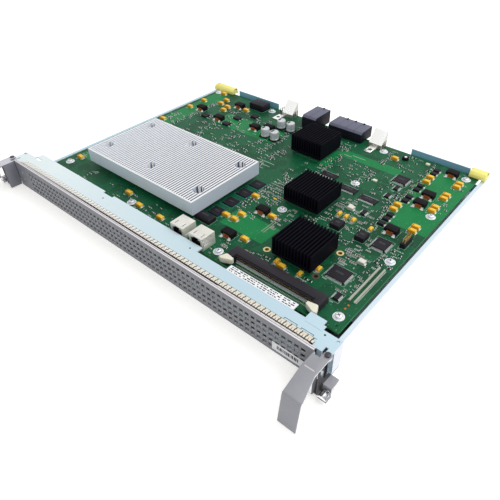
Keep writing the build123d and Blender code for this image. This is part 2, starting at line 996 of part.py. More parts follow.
def make_inductor_cores():
    """Ferrite blocks with an open arch in front for the winding."""
    cores = []
    for x, y in inductor_places():
        body = block(x - core_w / 2, x + core_w / 2, y - core_d / 2, y + core_d / 2, board_top,
                     board_top + core_h)
        arch = block(x - coil_w / 2 - touch_gap, x + coil_w / 2 + touch_gap,
                     y - core_d / 2 - cut_past, y - core_d / 2 + coil_d, board_top,
                     board_top + coil_h + touch_gap)
        cores.append(body - arch)
    return group(cores)


def make_inductor_coils():
    """Flat copper windings seen in the front of each inductor."""
    coils = []
    for x, y in inductor_places():
        front = y - core_d / 2
        coils.append(block(x - coil_w / 2, x + coil_w / 2, front - coil_proud, front + coil_d,
                           board_top, board_top + coil_h))
    return group(coils)


def make_tantalums():
    """Large moulded capacitors: singles first, then stacked pairs along the right side."""
    along_x = [
        (from_left(12.8), from_front(26.9)), (from_left(111.1), from_front(16.5)),
        (from_left(166.7), from_front(8.8)), (from_left(211.0), from_front(51.0)),
        (from_left(221.6), from_front(60.8)), (from_left(221.1), from_front(50.9)),
        (from_left(245.8), from_front(76.0)), (from_left(212.2), from_front(91.6)),
        (from_left(282.3), from_rear(20.8)), (from_right(39.3), from_rear(32.9)),
        (from_right(38.7), from_rear(43.0)), (from_right(42.1), from_rear(97.4)),
        (from_right(41.8), from_rear(106.3)), (from_left(16.4), from_rear(10.3)),
        (from_left(34.0), from_rear(24.0)), (from_left(35.0), from_rear(35.7)),
        (from_left(49.2), from_rear(38.3)), (from_left(51.5), from_rear(48.3)),
        (from_left(75.2), from_rear(31.1)), (from_left(10.5), from_rear(43.1)),
        (from_left(9.8), from_rear(68.2)), (from_left(9.6), from_rear(114.6)),
        (from_left(247.9), from_front(35.2)), (from_left(294.1), from_front(27.7)),
        (from_left(135.9), from_front(9.1)),
    ]
    bodies = []
    for x, y in along_x:
        bodies.append(chamfered(x, y, tantalum_l, tantalum_w, tantalum_h, chamfer_small))
    pairs = [
        (from_right(11.3), from_rear(29.6)), (from_right(12.9), from_rear(57.0)),
        (from_right(12.8), from_rear(82.7)), (from_right(13.0), from_rear(122.2)),
    ]
    step = tantalum_w + pair_gap
    for x, y in pairs:
        for row in (-1, 1):
            bodies.append(chamfered(x, y + row * step / 2, tantalum_l, tantalum_w,
                                    tantalum_h, chamfer_small))
    return group(bodies)


def make_small_tantalums():
    """Small moulded capacitors turned along Y, three of them round the front heatsink."""
    chip_x = from_left(front_sink[0])
    chip_y = from_front(front_sink[1])
    reach = black_side / 2 - carrier_margin
    row_y = chip_y - reach - small_clear - small_l / 2
    places = [
        (chip_x - 11.6, row_y), (chip_x + 12.1, row_y),
        (chip_x + reach + touch_gap + small_w / 2, chip_y - 8.4),
        (from_left(291.2), from_front(119.1)), (from_left(298.4), from_front(118.9)),
        (from_left(306.5), from_front(118.7)), (from_right(42.6), from_front(117.0)),
    ]
    return group([
        chamfered(x, y, small_w, small_l, small_h, chamfer_small) for x, y in places
    ])


def make_quad_chips():
    """Square gull-wing packages."""
    places = [
        (from_right(59.7), from_rear(55.8), 14.0, 14.0),
        (from_right(24.5), from_front(104.4), 13.0, 15.0),
        (from_right(32.3), from_front(50.2), 17.0, 15.0),
    ]
    return group([
        chamfered(x, y, length, width, quad_h, chamfer_chip) for x, y, length, width in places
    ])


def make_tsop_chips():
    """Long thin gull-wing packages behind the middle heatsink."""
    places = [
        (from_left(245.8), from_rear(93.4)), (from_left(275.3), from_rear(103.4)),
        (from_right(68.2), from_rear(107.0)),
    ]
    return group([
        chamfered(x, y, tsop_l, tsop_w, tsop_h, chamfer_thin) for x, y in places
    ])


def make_outline_chips():
    """Small-outline packages near the right side."""
    places = [
        (from_right(19.8), from_front(28.6)), (from_right(60.2), from_rear(128.4)),
        (from_right(56.4), from_rear(71.5)), (from_right(56.8), from_rear(88.9)),
    ]
    return group([
        chamfered(x, y, outline_w, outline_l, outline_h, chamfer_thin) for x, y in places
    ])


def make_memory_chips():
    """Ball-grid memory beside the main heatsink."""
    x = from_left(ram_left) + ram_w / 2
    places = [(x, from_front(ram_front) + row * ram_pitch) for row in range(ram_count)]
    return group([
        chamfered(x, y, ram_w, ram_l, ram_h, chamfer_thin) for x, y in places
    ])


def make_power_modules():
    """Low moulded power modules."""
    modules = [chamfered(from_left(199.8), from_front(34.8), large_module_l, large_module_w,
                         large_module_h, large_module_edge)]
    places = [(from_right(68.7), from_front(102.8)), (from_right(42.7), from_front(101.8))]
    for (x, y), length in zip(places, small_module_l):
        modules.append(chamfered(x, y, length, small_module_w, module_h, chamfer_chip))
    return group(modules)


def header_place():
    """Middle of the pin header."""
    return from_right(9.3), from_front(119.0)


def make_pin_header():
    """Black housing of the service header."""
    x, y = header_place()
    return block(x - header_w / 2, x + header_w / 2, y - header_l / 2, y + header_l / 2,
                 board_top, board_top + header_h)


def make_header_pins():
    """Gold pins that stand in the service header."""
    x, y = header_place()
    half = header_pin_side / 2
    low = board_top + header_h
    pins = []
    for column in range(header_pin_rows):
        px = x + (column - (header_pin_rows - 1) / 2) * header_pitch
        for row in range(header_pins_per_row):
            py = y + (row - (header_pins_per_row - 1) / 2) * header_pitch
            pins.append(block(px - half, px + half, py - half, py + half, low,
                              board_top + header_pin_h))
    return group(pins)


def make_terminator_strips():
    """Two slim pale resistor strips along the right side."""
    strips = []
    y0 = from_front(strip_front)
    for distance in strip_from_right:
        x = from_right(distance)
        strips.append(block(x - strip_w / 2, x + strip_w / 2, y0, y0 + strip_l, board_top,
                            board_top + strip_h))
    return group(strips)


def make_crystal():
    """Metal-lidded crystal."""
    return chamfered(from_right(25.7), from_front(73.8), crystal_l, crystal_w, crystal_h,
                     chamfer_small)


def make_relay():
    """Tall black block near the rear edge."""
    return chamfered(from_left(83.8), from_rear(13.8), relay_l, relay_w, relay_h, relay_edge)


def make_oscillator():
    """Flat metal-lidded oscillator behind the middle heatsink."""
    return chamfered(from_right(72.9), from_rear(130.4), crystal_l, crystal_w,
                     crystal_h, chamfer_chip)


def make_diodes():
    """Black rectifiers in a column beside the output capacitors."""
    x = from_right(39.6)
    rows = [16.3, 24.0, 53.7, 62.3, 78.5, 86.9, 116.2, 124.0, 132.9]
    return group([
        chamfered(x, from_rear(dy), diode_l, diode_w, diode_h, chamfer_chip) for dy in rows
    ])


def make_transistors():
    """Flat power transistors near the left-hand inductors."""
    places = [
        (from_left(45.0), from_rear(75.0)), (from_left(82.0), from_rear(75.0)),
        (from_left(82.0), from_rear(55.0)), (from_left(96.0), from_rear(38.0)),
    ]
    return group([
        chamfered(x, y, transistor_l, transistor_w, transistor_h, chamfer_chip)
        for x, y in places
    ])


def lever_grip_ends():
    """X of the grip's inner and outer edges."""
    inner = lever_inner_x + grip_offset
    return inner, inner + grip_w


def make_lever_sheet():
    """The lever's top plate, which bends down into its grip."""
    grip_x0, grip_x1 = lever_grip_ends()
    lean_y = -lever_reach - grip_lean
    bend_y = -lever_reach + grip_bend_r
    tail_y = lever_front - frame_gap
    outline = plate([
        (lever_inner_x, tail_y),
        (lever_inner_x, lever_bend_y),
        (grip_x0, bend_y),
        (grip_x0, lean_y - cut_past),
        (grip_x1, lean_y - cut_past),
        (grip_x1, bend_y),
        (lever_outer_x, lever_bend_y),
        (lever_outer_x, tail_y),
        (pivot_x + lug_r, pivot_y),
        (pivot_x - lug_r, pivot_y),
        (pivot_x - lug_r, tail_y),
    ], 0, lever_plate_top + cut_past)
    outline += prism(pivot_x, pivot_y, 0, lever_plate_top + cut_past, lug_r, rim_sides)
    strip = side_profile([
        (pivot_y + lug_r, lever_plate_low),
        (pivot_y + lug_r, lever_plate_top),
        (-lever_reach, lever_plate_top),
        (lean_y, grip_low),
        (lean_y + lever_t, grip_low),
        (-lever_reach + lever_t, lever_plate_low),
    ], lever_inner_x - cut_past, grip_x1 + cut_past)
    bends = strip.edges().filter_by(Axis.X).group_by(Axis.Y)[2]
    strip = fillet(bends.sort_by(Axis.Z)[-1], grip_bend_r)
    return strip & outline


def make_lever_webs():
    """The lever's inner web, its bowed outer web and the gusset beside the grip."""
    inner = block(lever_inner_x, lever_inner_x + lever_t, lever_front - inner_web_d,
                  lever_front, lever_foot_low, lever_plate_top)
    brow = (lever_outer_x, outer_web_front + outer_web_top, lever_plate_top)
    shoulder = (lever_outer_x, outer_web_rear, ear_z)
    bow = (lever_outer_x, outer_web_front + outer_web_bow_y, ear_z + outer_web_bow_z)
    rim = Polyline([
        brow,
        (lever_outer_x, outer_web_front, lever_plate_top),
        (lever_outer_x, outer_web_front, lever_foot_low),
        (lever_outer_x, outer_web_rear, lever_foot_low),
        shoulder,
    ])
    outer = extrude(make_face(rim + ThreePointArc(shoulder, bow, brow)), lever_t, dir=(-1, 0, 0))
    grip_x1 = lever_grip_ends()[1]
    bend_y = -lever_reach + grip_bend_r
    gusset_plan = plate([
        (lever_outer_x, gusset_rear),
        (lever_outer_x, lever_bend_y),
        (grip_x1, bend_y),
        (grip_x1 - lever_t, bend_y),
        (lever_outer_x - lever_t, lever_bend_y),
        (lever_outer_x - lever_t, gusset_rear),
    ], 0, lever_plate_top)
    gusset_side = side_profile([
        (gusset_rear, lever_plate_top),
        (gusset_front, lever_plate_top),
        (gusset_point_y, gusset_point_z),
        (gusset_point_y + gusset_point_w, gusset_point_z),
    ], lever_inner_x, grip_x1 + cut_past)
    return [inner, outer, gusset_plan & gusset_side]


def make_lever_foot():
    """The lever's lower plate, which turns on the pin under the frame."""
    foot = plate([
        (lever_inner_x, lever_front),
        (lever_inner_x, lever_front - inner_web_d),
        (lever_inner_x + foot_corner, lever_front - inner_web_d),
        (lever_outer_x - foot_corner, outer_web_front),
        (lever_outer_x, outer_web_front),
        (lever_outer_x, outer_web_rear),
        (pivot_x + lug_r, pivot_y),
        (pivot_x - lug_r, pivot_y),
        (pivot_x - lug_r, lever_front),
    ], lever_foot_low, lever_foot_top)
    return foot + prism(pivot_x, pivot_y, lever_foot_low, lever_foot_top, lug_r, rim_sides)


def make_lever():
    """Right-hand ejector lever, folded from one sheet, with the ear for its captive screw."""
    ear_x0 = lever_outer_x - lever_t
    ear_x1 = lever_outer_x + ear_w
    tab = block(ear_x0, ear_x1, ear_front, ear_rear, ear_z - lever_t, ear_z)
    corner = tab.edges().filter_by(Axis.Z).sort_by(lambda e: e.center().X + e.center().Y)[-1]
    tab = fillet(corner, ear_corner_r)
    flange = block(ear_x0, ear_x1, ear_front, ear_front + lever_t, grip_low, ear_z)
    lever = make_lever_sheet() + make_lever_webs() + [make_lever_foot(), tab, flange]
    holes = [
        rod(pivot_x, pivot_y, 0, lever_plate_top + cut_past, pin_r + running_gap),
        rod_y(captive_x, captive_z, ear_front - cut_past, ear_front + lever_t + cut_past,
              washer_hub_r + running_gap),
    ]
    return lever - holes


def make_pivot_pins():
    """Headed pins through the frame lugs and the levers."""
    head_low = lever_plate_top + touch_gap
    pins = []
    for side in (-1, 1):
        x = side * pivot_x
        shank = rod(x, pivot_y, lever_foot_low, head_low, pin_r)
        head = prism(x, pivot_y, head_low, head_low + pin_head_h, pin_head_r, rim_sides)
        pins.append(shank + head)
    return group(pins)


def make_washer():
    """Flanged collar that slides in the right-hand ear and carries the captive screw."""
    back = ear_front - touch_gap
    front = back - washer_t
    disc = prism_y(captive_x, captive_z, front, back, washer_r, rim_sides)
    hub = rod_y(captive_x, captive_z, front, collar_end, washer_hub_r)
    bore = rod_y(captive_x, captive_z, front - cut_past, collar_end + cut_past,
                 captive_neck_r + running_gap)
    return disc + hub - bore


def make_captive_screw():
    """Right-hand captive screw: toothed knob, driver slot, thin neck and threaded end."""
    front = knob_back - knob_l
    outline = []
    for index in range(2 * knob_teeth):
        radius = knob_r - (index % 2) * knob_tooth_h
        spot = PolarLocations(radius, 2 * knob_teeth).locations[index].position
        outline.append((captive_x + spot.X, captive_z + spot.Y))
    knob = front_profile(outline, front, knob_back)
    slot = block(captive_x - knob_r, captive_x + knob_r, front - cut_past, front + knob_slot_d,
                 captive_z - knob_slot_w / 2, captive_z + knob_slot_w / 2)
    thread_start = collar_end + touch_gap
    neck = rod_y(captive_x, captive_z, knob_back, thread_start, captive_neck_r)
    thread = rod_y(captive_x, captive_z, thread_start, captive_end, captive_r)
    return knob - slot + [neck, thread]


def mirrored(piece):
    """The left-hand twin of a right-hand piece."""
    return mirror(piece, about=Plane.YZ)


def save(name, piece):
    """Write one node's STEP file."""
    solids = piece.solids()
    shape = solids[0] if len(solids) == 1 else Compound(children=list(solids))
    shape.label = name
    export_step(shape, f"parts/{name}.step")


lever = make_lever()
washer = make_washer()
captive_screw = make_captive_screw()

nodes = {
    "carrier_tray": make_tray(),
    "faceplate": make_faceplate(),
    "indicator_lights": make_indicator_lights(),
    "front_frame": make_front_frame(),
    "frame_rivets": make_rivets(),
    "shielding_strip": make_gasket(),
    "circuit_board": make_board(),
    "board_standoffs": make_standoffs(),
    "board_screws": make_board_screws(),
    "corner_guide_left": make_corner_guide(-1),
    "corner_guide_right": make_corner_guide(1),
    "main_heatsink": make_main_heatsink(),
    "heatsink_screws": make_heatsink_screws(),
    "processor_chips": make_processors(),
    "heatsink_rear": make_black_heatsink(rear_sink),
    "heatsink_middle": make_black_heatsink(middle_sink),
    "heatsink_front": make_black_heatsink(front_sink),
    "cooled_chips": make_cooled_chips(),
    "network_jack_left": make_jack(0),
    "network_jack_right": make_jack(1),
    "memory_socket": make_memory_socket(),
    "socket_latch_left": make_latch(-1),
    "socket_latch_right": make_latch(1),
    "backplane_connector_small": make_connector(small_conn_left, small_conn_w, small_conn_d,
                                                small_conn_h),
    "backplane_connector_large": make_connector(large_conn_left, large_conn_w, large_conn_d,
                                                large_conn_h),
    "guide_socket_left": make_guide_socket(guide_left_x, guide_left_tab_shift),
    "guide_socket_right": make_guide_socket(guide_right_x, guide_right_tab_shift),
    "electrolytic_capacitors": make_cans(),
    "inductor_cores": make_inductor_cores(),
    "inductor_coils": make_inductor_coils(),
    "tantalum_capacitors": make_tantalums(),
    "small_tantalums": make_small_tantalums(),
    "quad_chips": make_quad_chips(),
    "tsop_chips": make_tsop_chips(),
    "outline_chips": make_outline_chips(),
    "memory_chips": make_memory_chips(),
    "power_modules": make_power_modules(),
    "pin_header": make_pin_header(),
    "header_pins": make_header_pins(),
    "terminator_strips": make_terminator_strips(),
    "crystal_can": make_crystal(),
    "oscillator_can": make_oscillator(),
    "output_rectifiers": make_diodes(),
    "relay_block": make_relay(),
    "power_transistors": make_transistors(),
    "ejector_lever_right": lever,
    "ejector_lever_left": mirrored(lever),
    "pivot_pins": make_pivot_pins(),
    "screw_collar_right": washer,
    "screw_collar_left": mirrored(washer),
    "captive_screw_right": captive_screw,
    "captive_screw_left": mirrored(captive_screw),
}

for node_name, node_piece in nodes.items():
    save(node_name, node_piece)
print(len(nodes), "nodes")
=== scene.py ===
"""Looks of a plug-in processor module: sheet metal, board, heatsinks, small parts and levers.

Places are written in millimetres in the module's own frame and become metres when a mesh is
made: X along the faceplate, Y back from its front, Z up from the tray's underside.
"""
import json
import logging
import math
import random
from dataclasses import dataclass
from enum import Enum
from typing import Any

import bmesh
import bpy
from mathutils import Matrix, Vector


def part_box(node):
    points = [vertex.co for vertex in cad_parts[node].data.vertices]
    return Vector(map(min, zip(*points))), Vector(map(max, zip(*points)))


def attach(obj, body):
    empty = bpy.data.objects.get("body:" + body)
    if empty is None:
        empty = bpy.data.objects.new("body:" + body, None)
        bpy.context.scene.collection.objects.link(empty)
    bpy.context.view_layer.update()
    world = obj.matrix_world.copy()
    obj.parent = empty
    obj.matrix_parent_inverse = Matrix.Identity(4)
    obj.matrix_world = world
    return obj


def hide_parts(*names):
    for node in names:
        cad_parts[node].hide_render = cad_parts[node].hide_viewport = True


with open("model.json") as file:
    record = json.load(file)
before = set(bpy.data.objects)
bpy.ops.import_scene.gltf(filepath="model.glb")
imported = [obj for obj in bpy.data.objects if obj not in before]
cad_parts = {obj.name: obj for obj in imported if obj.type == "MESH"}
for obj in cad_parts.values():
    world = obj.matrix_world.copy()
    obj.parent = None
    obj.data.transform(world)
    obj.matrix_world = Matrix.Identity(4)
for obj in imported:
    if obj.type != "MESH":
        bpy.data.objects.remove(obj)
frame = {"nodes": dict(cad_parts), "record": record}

log = logging.getLogger("processor_module")
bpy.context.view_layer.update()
MM = 0.001
SEED = 7
WELD = 0.01 * MM
FLAT_ANGLE = math.radians(1.0)
ROUNDED_FROM = math.radians(38.0)
SHARP_FROM = math.radians(32.0)
TURNED_SHARP_FROM = math.radians(40.0)
PAD_THICK = 0.06
PRINT_THICK = 0.05
Colour = tuple[float, float, float]
Point = tuple[float, float, float]
Outline = list[tuple[float, float]]


class Body(Enum):
    """The bodies that pieces ride on."""

    CHASSIS = "chassis"
    LEVER_RIGHT = "lever_right"
    LEVER_LEFT = "lever_left"


class Graph:
    """Adds and links the nodes of one node tree."""

    def __init__(self, tree: bpy.types.NodeTree) -> None:
        """Start on a tree and empty it.

        Args:
            tree: the tree that the nodes go into.
        """
        self.tree = tree
        tree.nodes.clear()

    def add(self, kind: str, inputs: dict[Any, Any] | None = None, **settings: Any) -> bpy.types.Node:
        """Add one node.

        Args:
            kind: the node's type name.
            inputs: values or sockets for its inputs, by name or number.
            settings: other properties of the node.

        Returns:
            The new node.
        """
        node = self.tree.nodes.new(kind)
        for key, value in settings.items():
            setattr(node, key, value)
        for key, value in (inputs or {}).items():
            self.feed(node.inputs[key], value)
        return node

    def feed(self, socket: bpy.types.NodeSocket, value: Any) -> None:
        """Link a socket to another, or set its value.

        Args:
            socket: the input.
            value: another socket, or a plain value.
        """
        if isinstance(value, bpy.types.NodeSocket):
            self.tree.links.new(value, socket)
        else:
            socket.default_value = value

    def sum(self, kind: str, first: Any, second: Any = 0.0) -> bpy.types.NodeSocket:
        """The result of one Math node.

        Args:
            kind: the operation.
            first: its first value.
            second: its second value.

        Returns:
            The value's socket.
        """
        return self.add("ShaderNodeMath", {0: first, 1: second}, operation=kind).outputs[0]

    def mix(self, share: Any, first: Any, second: Any) -> bpy.types.NodeSocket:
        """A colour between two others.

        Args:
            share: 0 for the first, 1 for the second.
            first: a colour or socket.
            second: a colour or socket.

        Returns:
            The colour's socket.
        """
        ends = {0: share, 6: paint(first), 7: paint(second)}
        return self.add("ShaderNodeMix", ends, data_type="RGBA").outputs[2]

    def vector(self, kind: str, first: Any, second: Any, result: Any = 0) -> bpy.types.NodeSocket:
        """One result of a Vector Math node, by number or name."""
        return self.add("ShaderNodeVectorMath", {0: first, 1: second}, operation=kind).outputs[result]

    def place(self) -> bpy.types.NodeSocket:
        """The place in the object's own frame."""
        return self.add("ShaderNodeTexCoord").outputs["Object"]

    def axes(self, vector: Any = None) -> Any:
        """The three numbers of a vector, or of the place if none is given."""
        whole = self.place() if vector is None else vector
        return self.add("ShaderNodeSeparateXYZ", {0: whole}).outputs

    def normal(self) -> bpy.types.NodeSocket:
        """The face's own direction in the world."""
        return self.add("ShaderNodeNewGeometry").outputs["True Normal"]


def paint(colour: Any) -> Any:
    """A colour with its fourth number, or the socket that was given."""
    return (*colour, 1.0) if isinstance(colour, tuple) and len(colour) == 3 else colour


def new_group(name: str, takes: dict[str, str], gives: dict[str, str],
              tree_kind: str = "ShaderNodeTree") -> tuple[Graph, Any, Any]:
    """An empty node group with named sockets.

    Args:
        name: the group's name.
        takes: kind of each input by name.
        gives: kind of each output by name.
        tree_kind: the kind of tree.

    Returns:
        The graph, what the group is given and what it gives out.
    """
    tree = bpy.data.node_groups.new(name, tree_kind)
    for way, sockets in (("INPUT", takes), ("OUTPUT", gives)):
        for label, kind in sockets.items():
            tree.interface.new_socket(label, in_out=way, socket_type=f"NodeSocket{kind}")
    graph = Graph(tree)
    return graph, graph.add("NodeGroupInput").outputs, graph.add("NodeGroupOutput").inputs


def grain_group() -> bpy.types.NodeTree:
    """Uneven colour, sheen and height on any finish.

    Returns:
        The group, with the pattern's scale, stretch and two colours as inputs.
    """
    broad_share = 0.07
    least, most = 0.35, 0.65
    takes = {"Colour": "Color", "Second": "Color", "Scale": "Float", "Stretch": "Vector",
             "Amount": "Float", "Roughness": "Float"}
    gives = {"Colour": "Color", "Roughness": "Float", "Height": "Float"}
    graph, given, out = new_group("uneven_surface", takes, gives)
    place = graph.place()
    stretched = graph.vector("MULTIPLY", place, given["Stretch"])
    fine = graph.add("ShaderNodeTexNoise", {"Vector": stretched, "Scale": given["Scale"],
                                            "Detail": 4.0, "Roughness": 0.6}).outputs[0]
    broad_scale = graph.sum("MULTIPLY", given["Scale"], broad_share)
    broad = graph.add("ShaderNodeTexNoise", {"Vector": place, "Scale": broad_scale,
                                             "Detail": 2.0}).outputs[0]
    both = graph.sum("ADD", graph.sum("MULTIPLY", fine, 0.5), graph.sum("MULTIPLY", broad, 0.5))
    wider = graph.add("ShaderNodeMapRange", {"Value": both, "From Min": least, "From Max": most})
    share = graph.sum("MULTIPLY", wider.outputs[0], given["Amount"])
    graph.feed(out["Colour"], graph.mix(share, given["Colour"], given["Second"]))
    swing = graph.sum("MULTIPLY", graph.sum("SUBTRACT", both, 0.5), 0.5)
    graph.feed(out["Roughness"], graph.sum("ADD", given["Roughness"], swing))
    graph.feed(out["Height"], fine)
    return graph.tree


def zone_group() -> bpy.types.NodeTree:
    """A rectangle in plan, for fields of colour.

    Returns:
        The group: low and high corners in, a mask out.
    """
    graph, given, out = new_group("plan_zone", {"Low": "Vector", "High": "Vector"}, {"Mask": "Float"})
    here, low, high = graph.axes(), graph.axes(given["Low"]), graph.axes(given["High"])
    mask = 1.0
    for axis in ("X", "Y"):
        past = graph.sum("GREATER_THAN", here[axis], low[axis])
        before = graph.sum("LESS_THAN", here[axis], high[axis])
        mask = graph.sum("MULTIPLY", mask, graph.sum("MULTIPLY", past, before))
    graph.feed(out["Mask"], mask)
    return graph.tree


def trace_group() -> bpy.types.NodeTree:
    """Bundles of fine copper tracks and dots of vias under the solder mask.

    Returns:
        The group: track pitch in metres in, masks of tracks and vias out.
    """
    patch_scale, dot_scale = 75.0, 420.0
    directions = 4
    line_share, empty_share = 0.42, 0.42
    dot_reach, bare_share = 0.16, 0.62
    graph, given, out = new_group("copper_tracks", {"Pitch": "Float"},
                                  {"Tracks": "Float", "Vias": "Float"})
    place = graph.place()
    patches = graph.add("ShaderNodeTexVoronoi", {"Vector": place, "Scale": patch_scale})
    patch = graph.add("ShaderNodeSeparateColor", {0: patches.outputs["Color"]}).outputs
    turn = graph.sum("MULTIPLY", graph.sum("FLOOR", graph.sum("MULTIPLY", patch[0], directions)),
                     math.pi / directions)
    here = graph.axes(place)
    along = graph.sum("ADD", graph.sum("MULTIPLY", here[0], graph.sum("COSINE", turn)),
                      graph.sum("MULTIPLY", here[1], graph.sum("SINE", turn)))
    step = graph.sum("FRACT", graph.sum("DIVIDE", along, given["Pitch"]))
    line = graph.sum("LESS_THAN", step, line_share)
    crowd = graph.sum("GREATER_THAN", patch[1], empty_share)
    graph.feed(out["Tracks"], graph.sum("MULTIPLY", line, crowd))
    dots = graph.add("ShaderNodeTexVoronoi", {"Vector": place, "Scale": dot_scale}).outputs
    near = graph.sum("LESS_THAN", dots["Distance"], dot_reach)
    dot = graph.add("ShaderNodeSeparateColor", {0: dots["Color"]}).outputs
    some = graph.sum("GREATER_THAN", dot[0], bare_share)
    graph.feed(out["Vias"], graph.sum("MULTIPLY", near, some))
    return graph.tree


def welded(node: str) -> bmesh.types.BMesh:
    """A copy of a CAD node's mesh with its seams closed.

    Args:
        node: the CAD node.

    Returns:
        The copy, which the caller frees.
    """
    shape = bmesh.new()
    shape.from_mesh(frame["nodes"][node].data)
    bmesh.ops.remove_doubles(shape, verts=shape.verts, dist=WELD)
    return shape


def to_object(name: str, shape: bmesh.types.BMesh) -> bpy.types.Object:
    """Turn an edited shape into an object, and free the shape.

    Args:
        name: the name of the object and of its mesh.
        shape: the shape.

    Returns:
        The object, which isn't linked to the scene.
    """
    mesh = bpy.data.meshes.new(name)
    shape.to_mesh(mesh)
    shape.free()
    return bpy.data.objects.new(name, mesh)


def linked(thing: bpy.types.Object) -> bpy.types.Object:
    """Link an object to the scene."""
    bpy.context.scene.collection.objects.link(thing)
    return thing


def smooth(mesh: bpy.types.Mesh, sharp_from: float) -> None:
    """Shade a mesh smooth between its sharp edges.

    Args:
        mesh: the mesh.
        sharp_from: the angle from which an edge stays sharp.
    """
    for face in mesh.polygons:
        face.use_smooth = True
    mesh.set_sharp_from_angle(angle=sharp_from)


def box(node: str) -> list[Vector]:
    """The lowest and highest corner of a CAD node, in millimetres."""
    return [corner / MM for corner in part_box(node)]


def islands(node: str) -> list[tuple[Vector, Vector]]:
    """The boxes of a node's separate solids, in millimetres, in a fixed order.

    Args:
        node: the CAD node.

    Returns:
        The lowest and highest corner of each solid.
    """
    shape = welded(node)
    left = set(shape.verts)
    boxes = []
    while left:
        members = [left.pop()]
        for member in members:
            for edge in member.link_edges:
                for vertex in edge.verts:
                    if vertex in left:
                        left.remove(vertex)
                        members.append(vertex)
        low, high = (Vector([end(vertex.co[axis] for vertex in members) for axis in range(3)]) / MM
                     for end in (min, max))
        boxes.append((low, high))
    shape.free()
    return sorted(boxes, key=lambda corners: (round(corners[0].x, 2), round(corners[0].y, 2)))


def centres(node: str) -> list[Vector]:
    """The middles of a node's separate solids, in millimetres."""
    return [(low + high) / 2 for low, high in islands(node)]


@dataclass(frozen=True)
class PaintedFacingLight:
    """Painted light and shade: another colour on the faces that point one way, as the light falls on
    them.
    """

    toward: Point
    colour: Colour
    least: float = 0.6

    def mask(self, graph: Graph) -> bpy.types.NodeSocket:
        """One where the face's own direction agrees.

        Args:
            graph: the material's graph.

        Returns:
            The mask's socket.
        """
        own = graph.add("ShaderNodeVectorTransform", {0: graph.normal()}, vector_type="NORMAL",
                        convert_from="WORLD", convert_to="OBJECT").outputs[0]
        agreed = graph.vector("DOT_PRODUCT", own, self.toward, "Value")
        return graph.sum("GREATER_THAN", agreed, self.least)


def drift(graph: Graph, start: float, end: float) -> bpy.types.NodeSocket:
    """A share that grows from 0 to 1 along X.

    Args:
        graph: the material's graph.
        start: the X where it starts to grow, in millimetres.
        end: the X where it is 1.

    Returns:
        The share's socket.
    """
    ends = {"Value": graph.axes()[0], "From Min": start * MM, "From Max": end * MM}
    return graph.add("ShaderNodeMapRange", ends).outputs[0]


def zone_mask(graph: Graph, low: tuple[float, float], high: tuple[float, float]) -> bpy.types.NodeSocket:
    """One inside a rectangle in plan.

    Args:
        graph: the material's graph.
        low: the rectangle's lowest X and Y, in millimetres.
        high: its highest X and Y.

    Returns:
        The mask's socket.
    """
    corners = {"Low": (low[0] * MM, low[1] * MM, 0.0), "High": (high[0] * MM, high[1] * MM, 0.0)}
    return graph.add("ShaderNodeGroup", corners, node_tree=GROUPS["zone"]).outputs["Mask"]


@dataclass(frozen=True)
class Finish:
    """A finish with uneven colour, sheen and height."""

    name: str
    colour: Colour
    second: Colour
    roughness: float
    metallic: float = 0.0
    scale: float = 300.0
    stretch: Point = (1.0, 1.0, 1.0)
    amount: float = 0.6
    bump: float = 0.05
    shine: float = 0.3
    # faces: painted highlights and painted shade on the faces that point given ways
    faces: tuple[PaintedFacingLight, ...] = ()
    bump_reach: float = 0.0004

    def build(self) -> bpy.types.Material:
        """The finish's material, made once, under a name that the frame's own don't have."""
        made = bpy.data.materials.get(f"{self.name}_finish")
        return made or self.make()

    def make(self) -> bpy.types.Material:
        """Make the material.

        Returns:
            The new material.
        """
        material = bpy.data.materials.new(f"{self.name}_finish")
        material.use_nodes = True
        graph = Graph(material.node_tree)
        values = {"Colour": paint(self.colour), "Second": paint(self.second), "Scale": self.scale,
                  "Stretch": self.stretch, "Amount": self.amount, "Roughness": self.roughness}
        uneven = graph.add("ShaderNodeGroup", values, node_tree=GROUPS["grain"]).outputs
        bump = graph.add("ShaderNodeBump", {"Height": uneven["Height"], "Strength": self.bump,
                                            "Distance": self.bump_reach})
        inputs = {"Base Color": self.tint(graph, uneven["Colour"]),
                  "Roughness": uneven["Roughness"], "Metallic": self.metallic,
                  "Specular IOR Level": self.shine, "Normal": bump.outputs[0]}
        shader = graph.add("ShaderNodeBsdfPrincipled", inputs)
        graph.add("ShaderNodeOutputMaterial", {0: shader.outputs[0]})
        return material

    def tint(self, graph: Graph, colour: bpy.types.NodeSocket) -> bpy.types.NodeSocket:
        """The colour with the painted light and shade of each face direction; a special finish adds to
        it here.

        Args:
            graph: the material's graph.
            colour: the colour so far.

        Returns:
            The colour's socket.
        """
        for facing_light in self.faces:
            colour = graph.mix(facing_light.mask(graph), colour, facing_light.colour)
        return colour


@dataclass(frozen=True)
class Zone:
    """A rectangle in plan and a height, all in millimetres, below which a finish changes."""

    low: tuple[float, float]
    high: tuple[float, float]
    below: float
    above: float = -1.0
    clear: tuple[tuple[float, float], ...] = ()
    clear_r: float = 6.2

    def mask(self, graph: Graph) -> bpy.types.NodeSocket:
        """One inside the zone, apart from the clear discs.

        Args:
            graph: the material's graph.

        Returns:
            The mask's socket.
        """
        place = graph.place()
        height = graph.axes(place)[2]
        under = graph.sum("LESS_THAN", height, self.below * MM)
        over = graph.sum("GREATER_THAN", height, self.above * MM)
        mask = graph.sum("MULTIPLY", graph.sum("MULTIPLY", under, over),
                         zone_mask(graph, self.low, self.high))
        flat = graph.vector("MULTIPLY", place, (1.0, 1.0, 0.0))
        for x, y in self.clear:
            away = graph.vector("DISTANCE", flat, (x * MM, y * MM, 0.0), "Value")
            mask = graph.sum("MULTIPLY", mask, graph.sum("GREATER_THAN", away, self.clear_r * MM))
        return mask


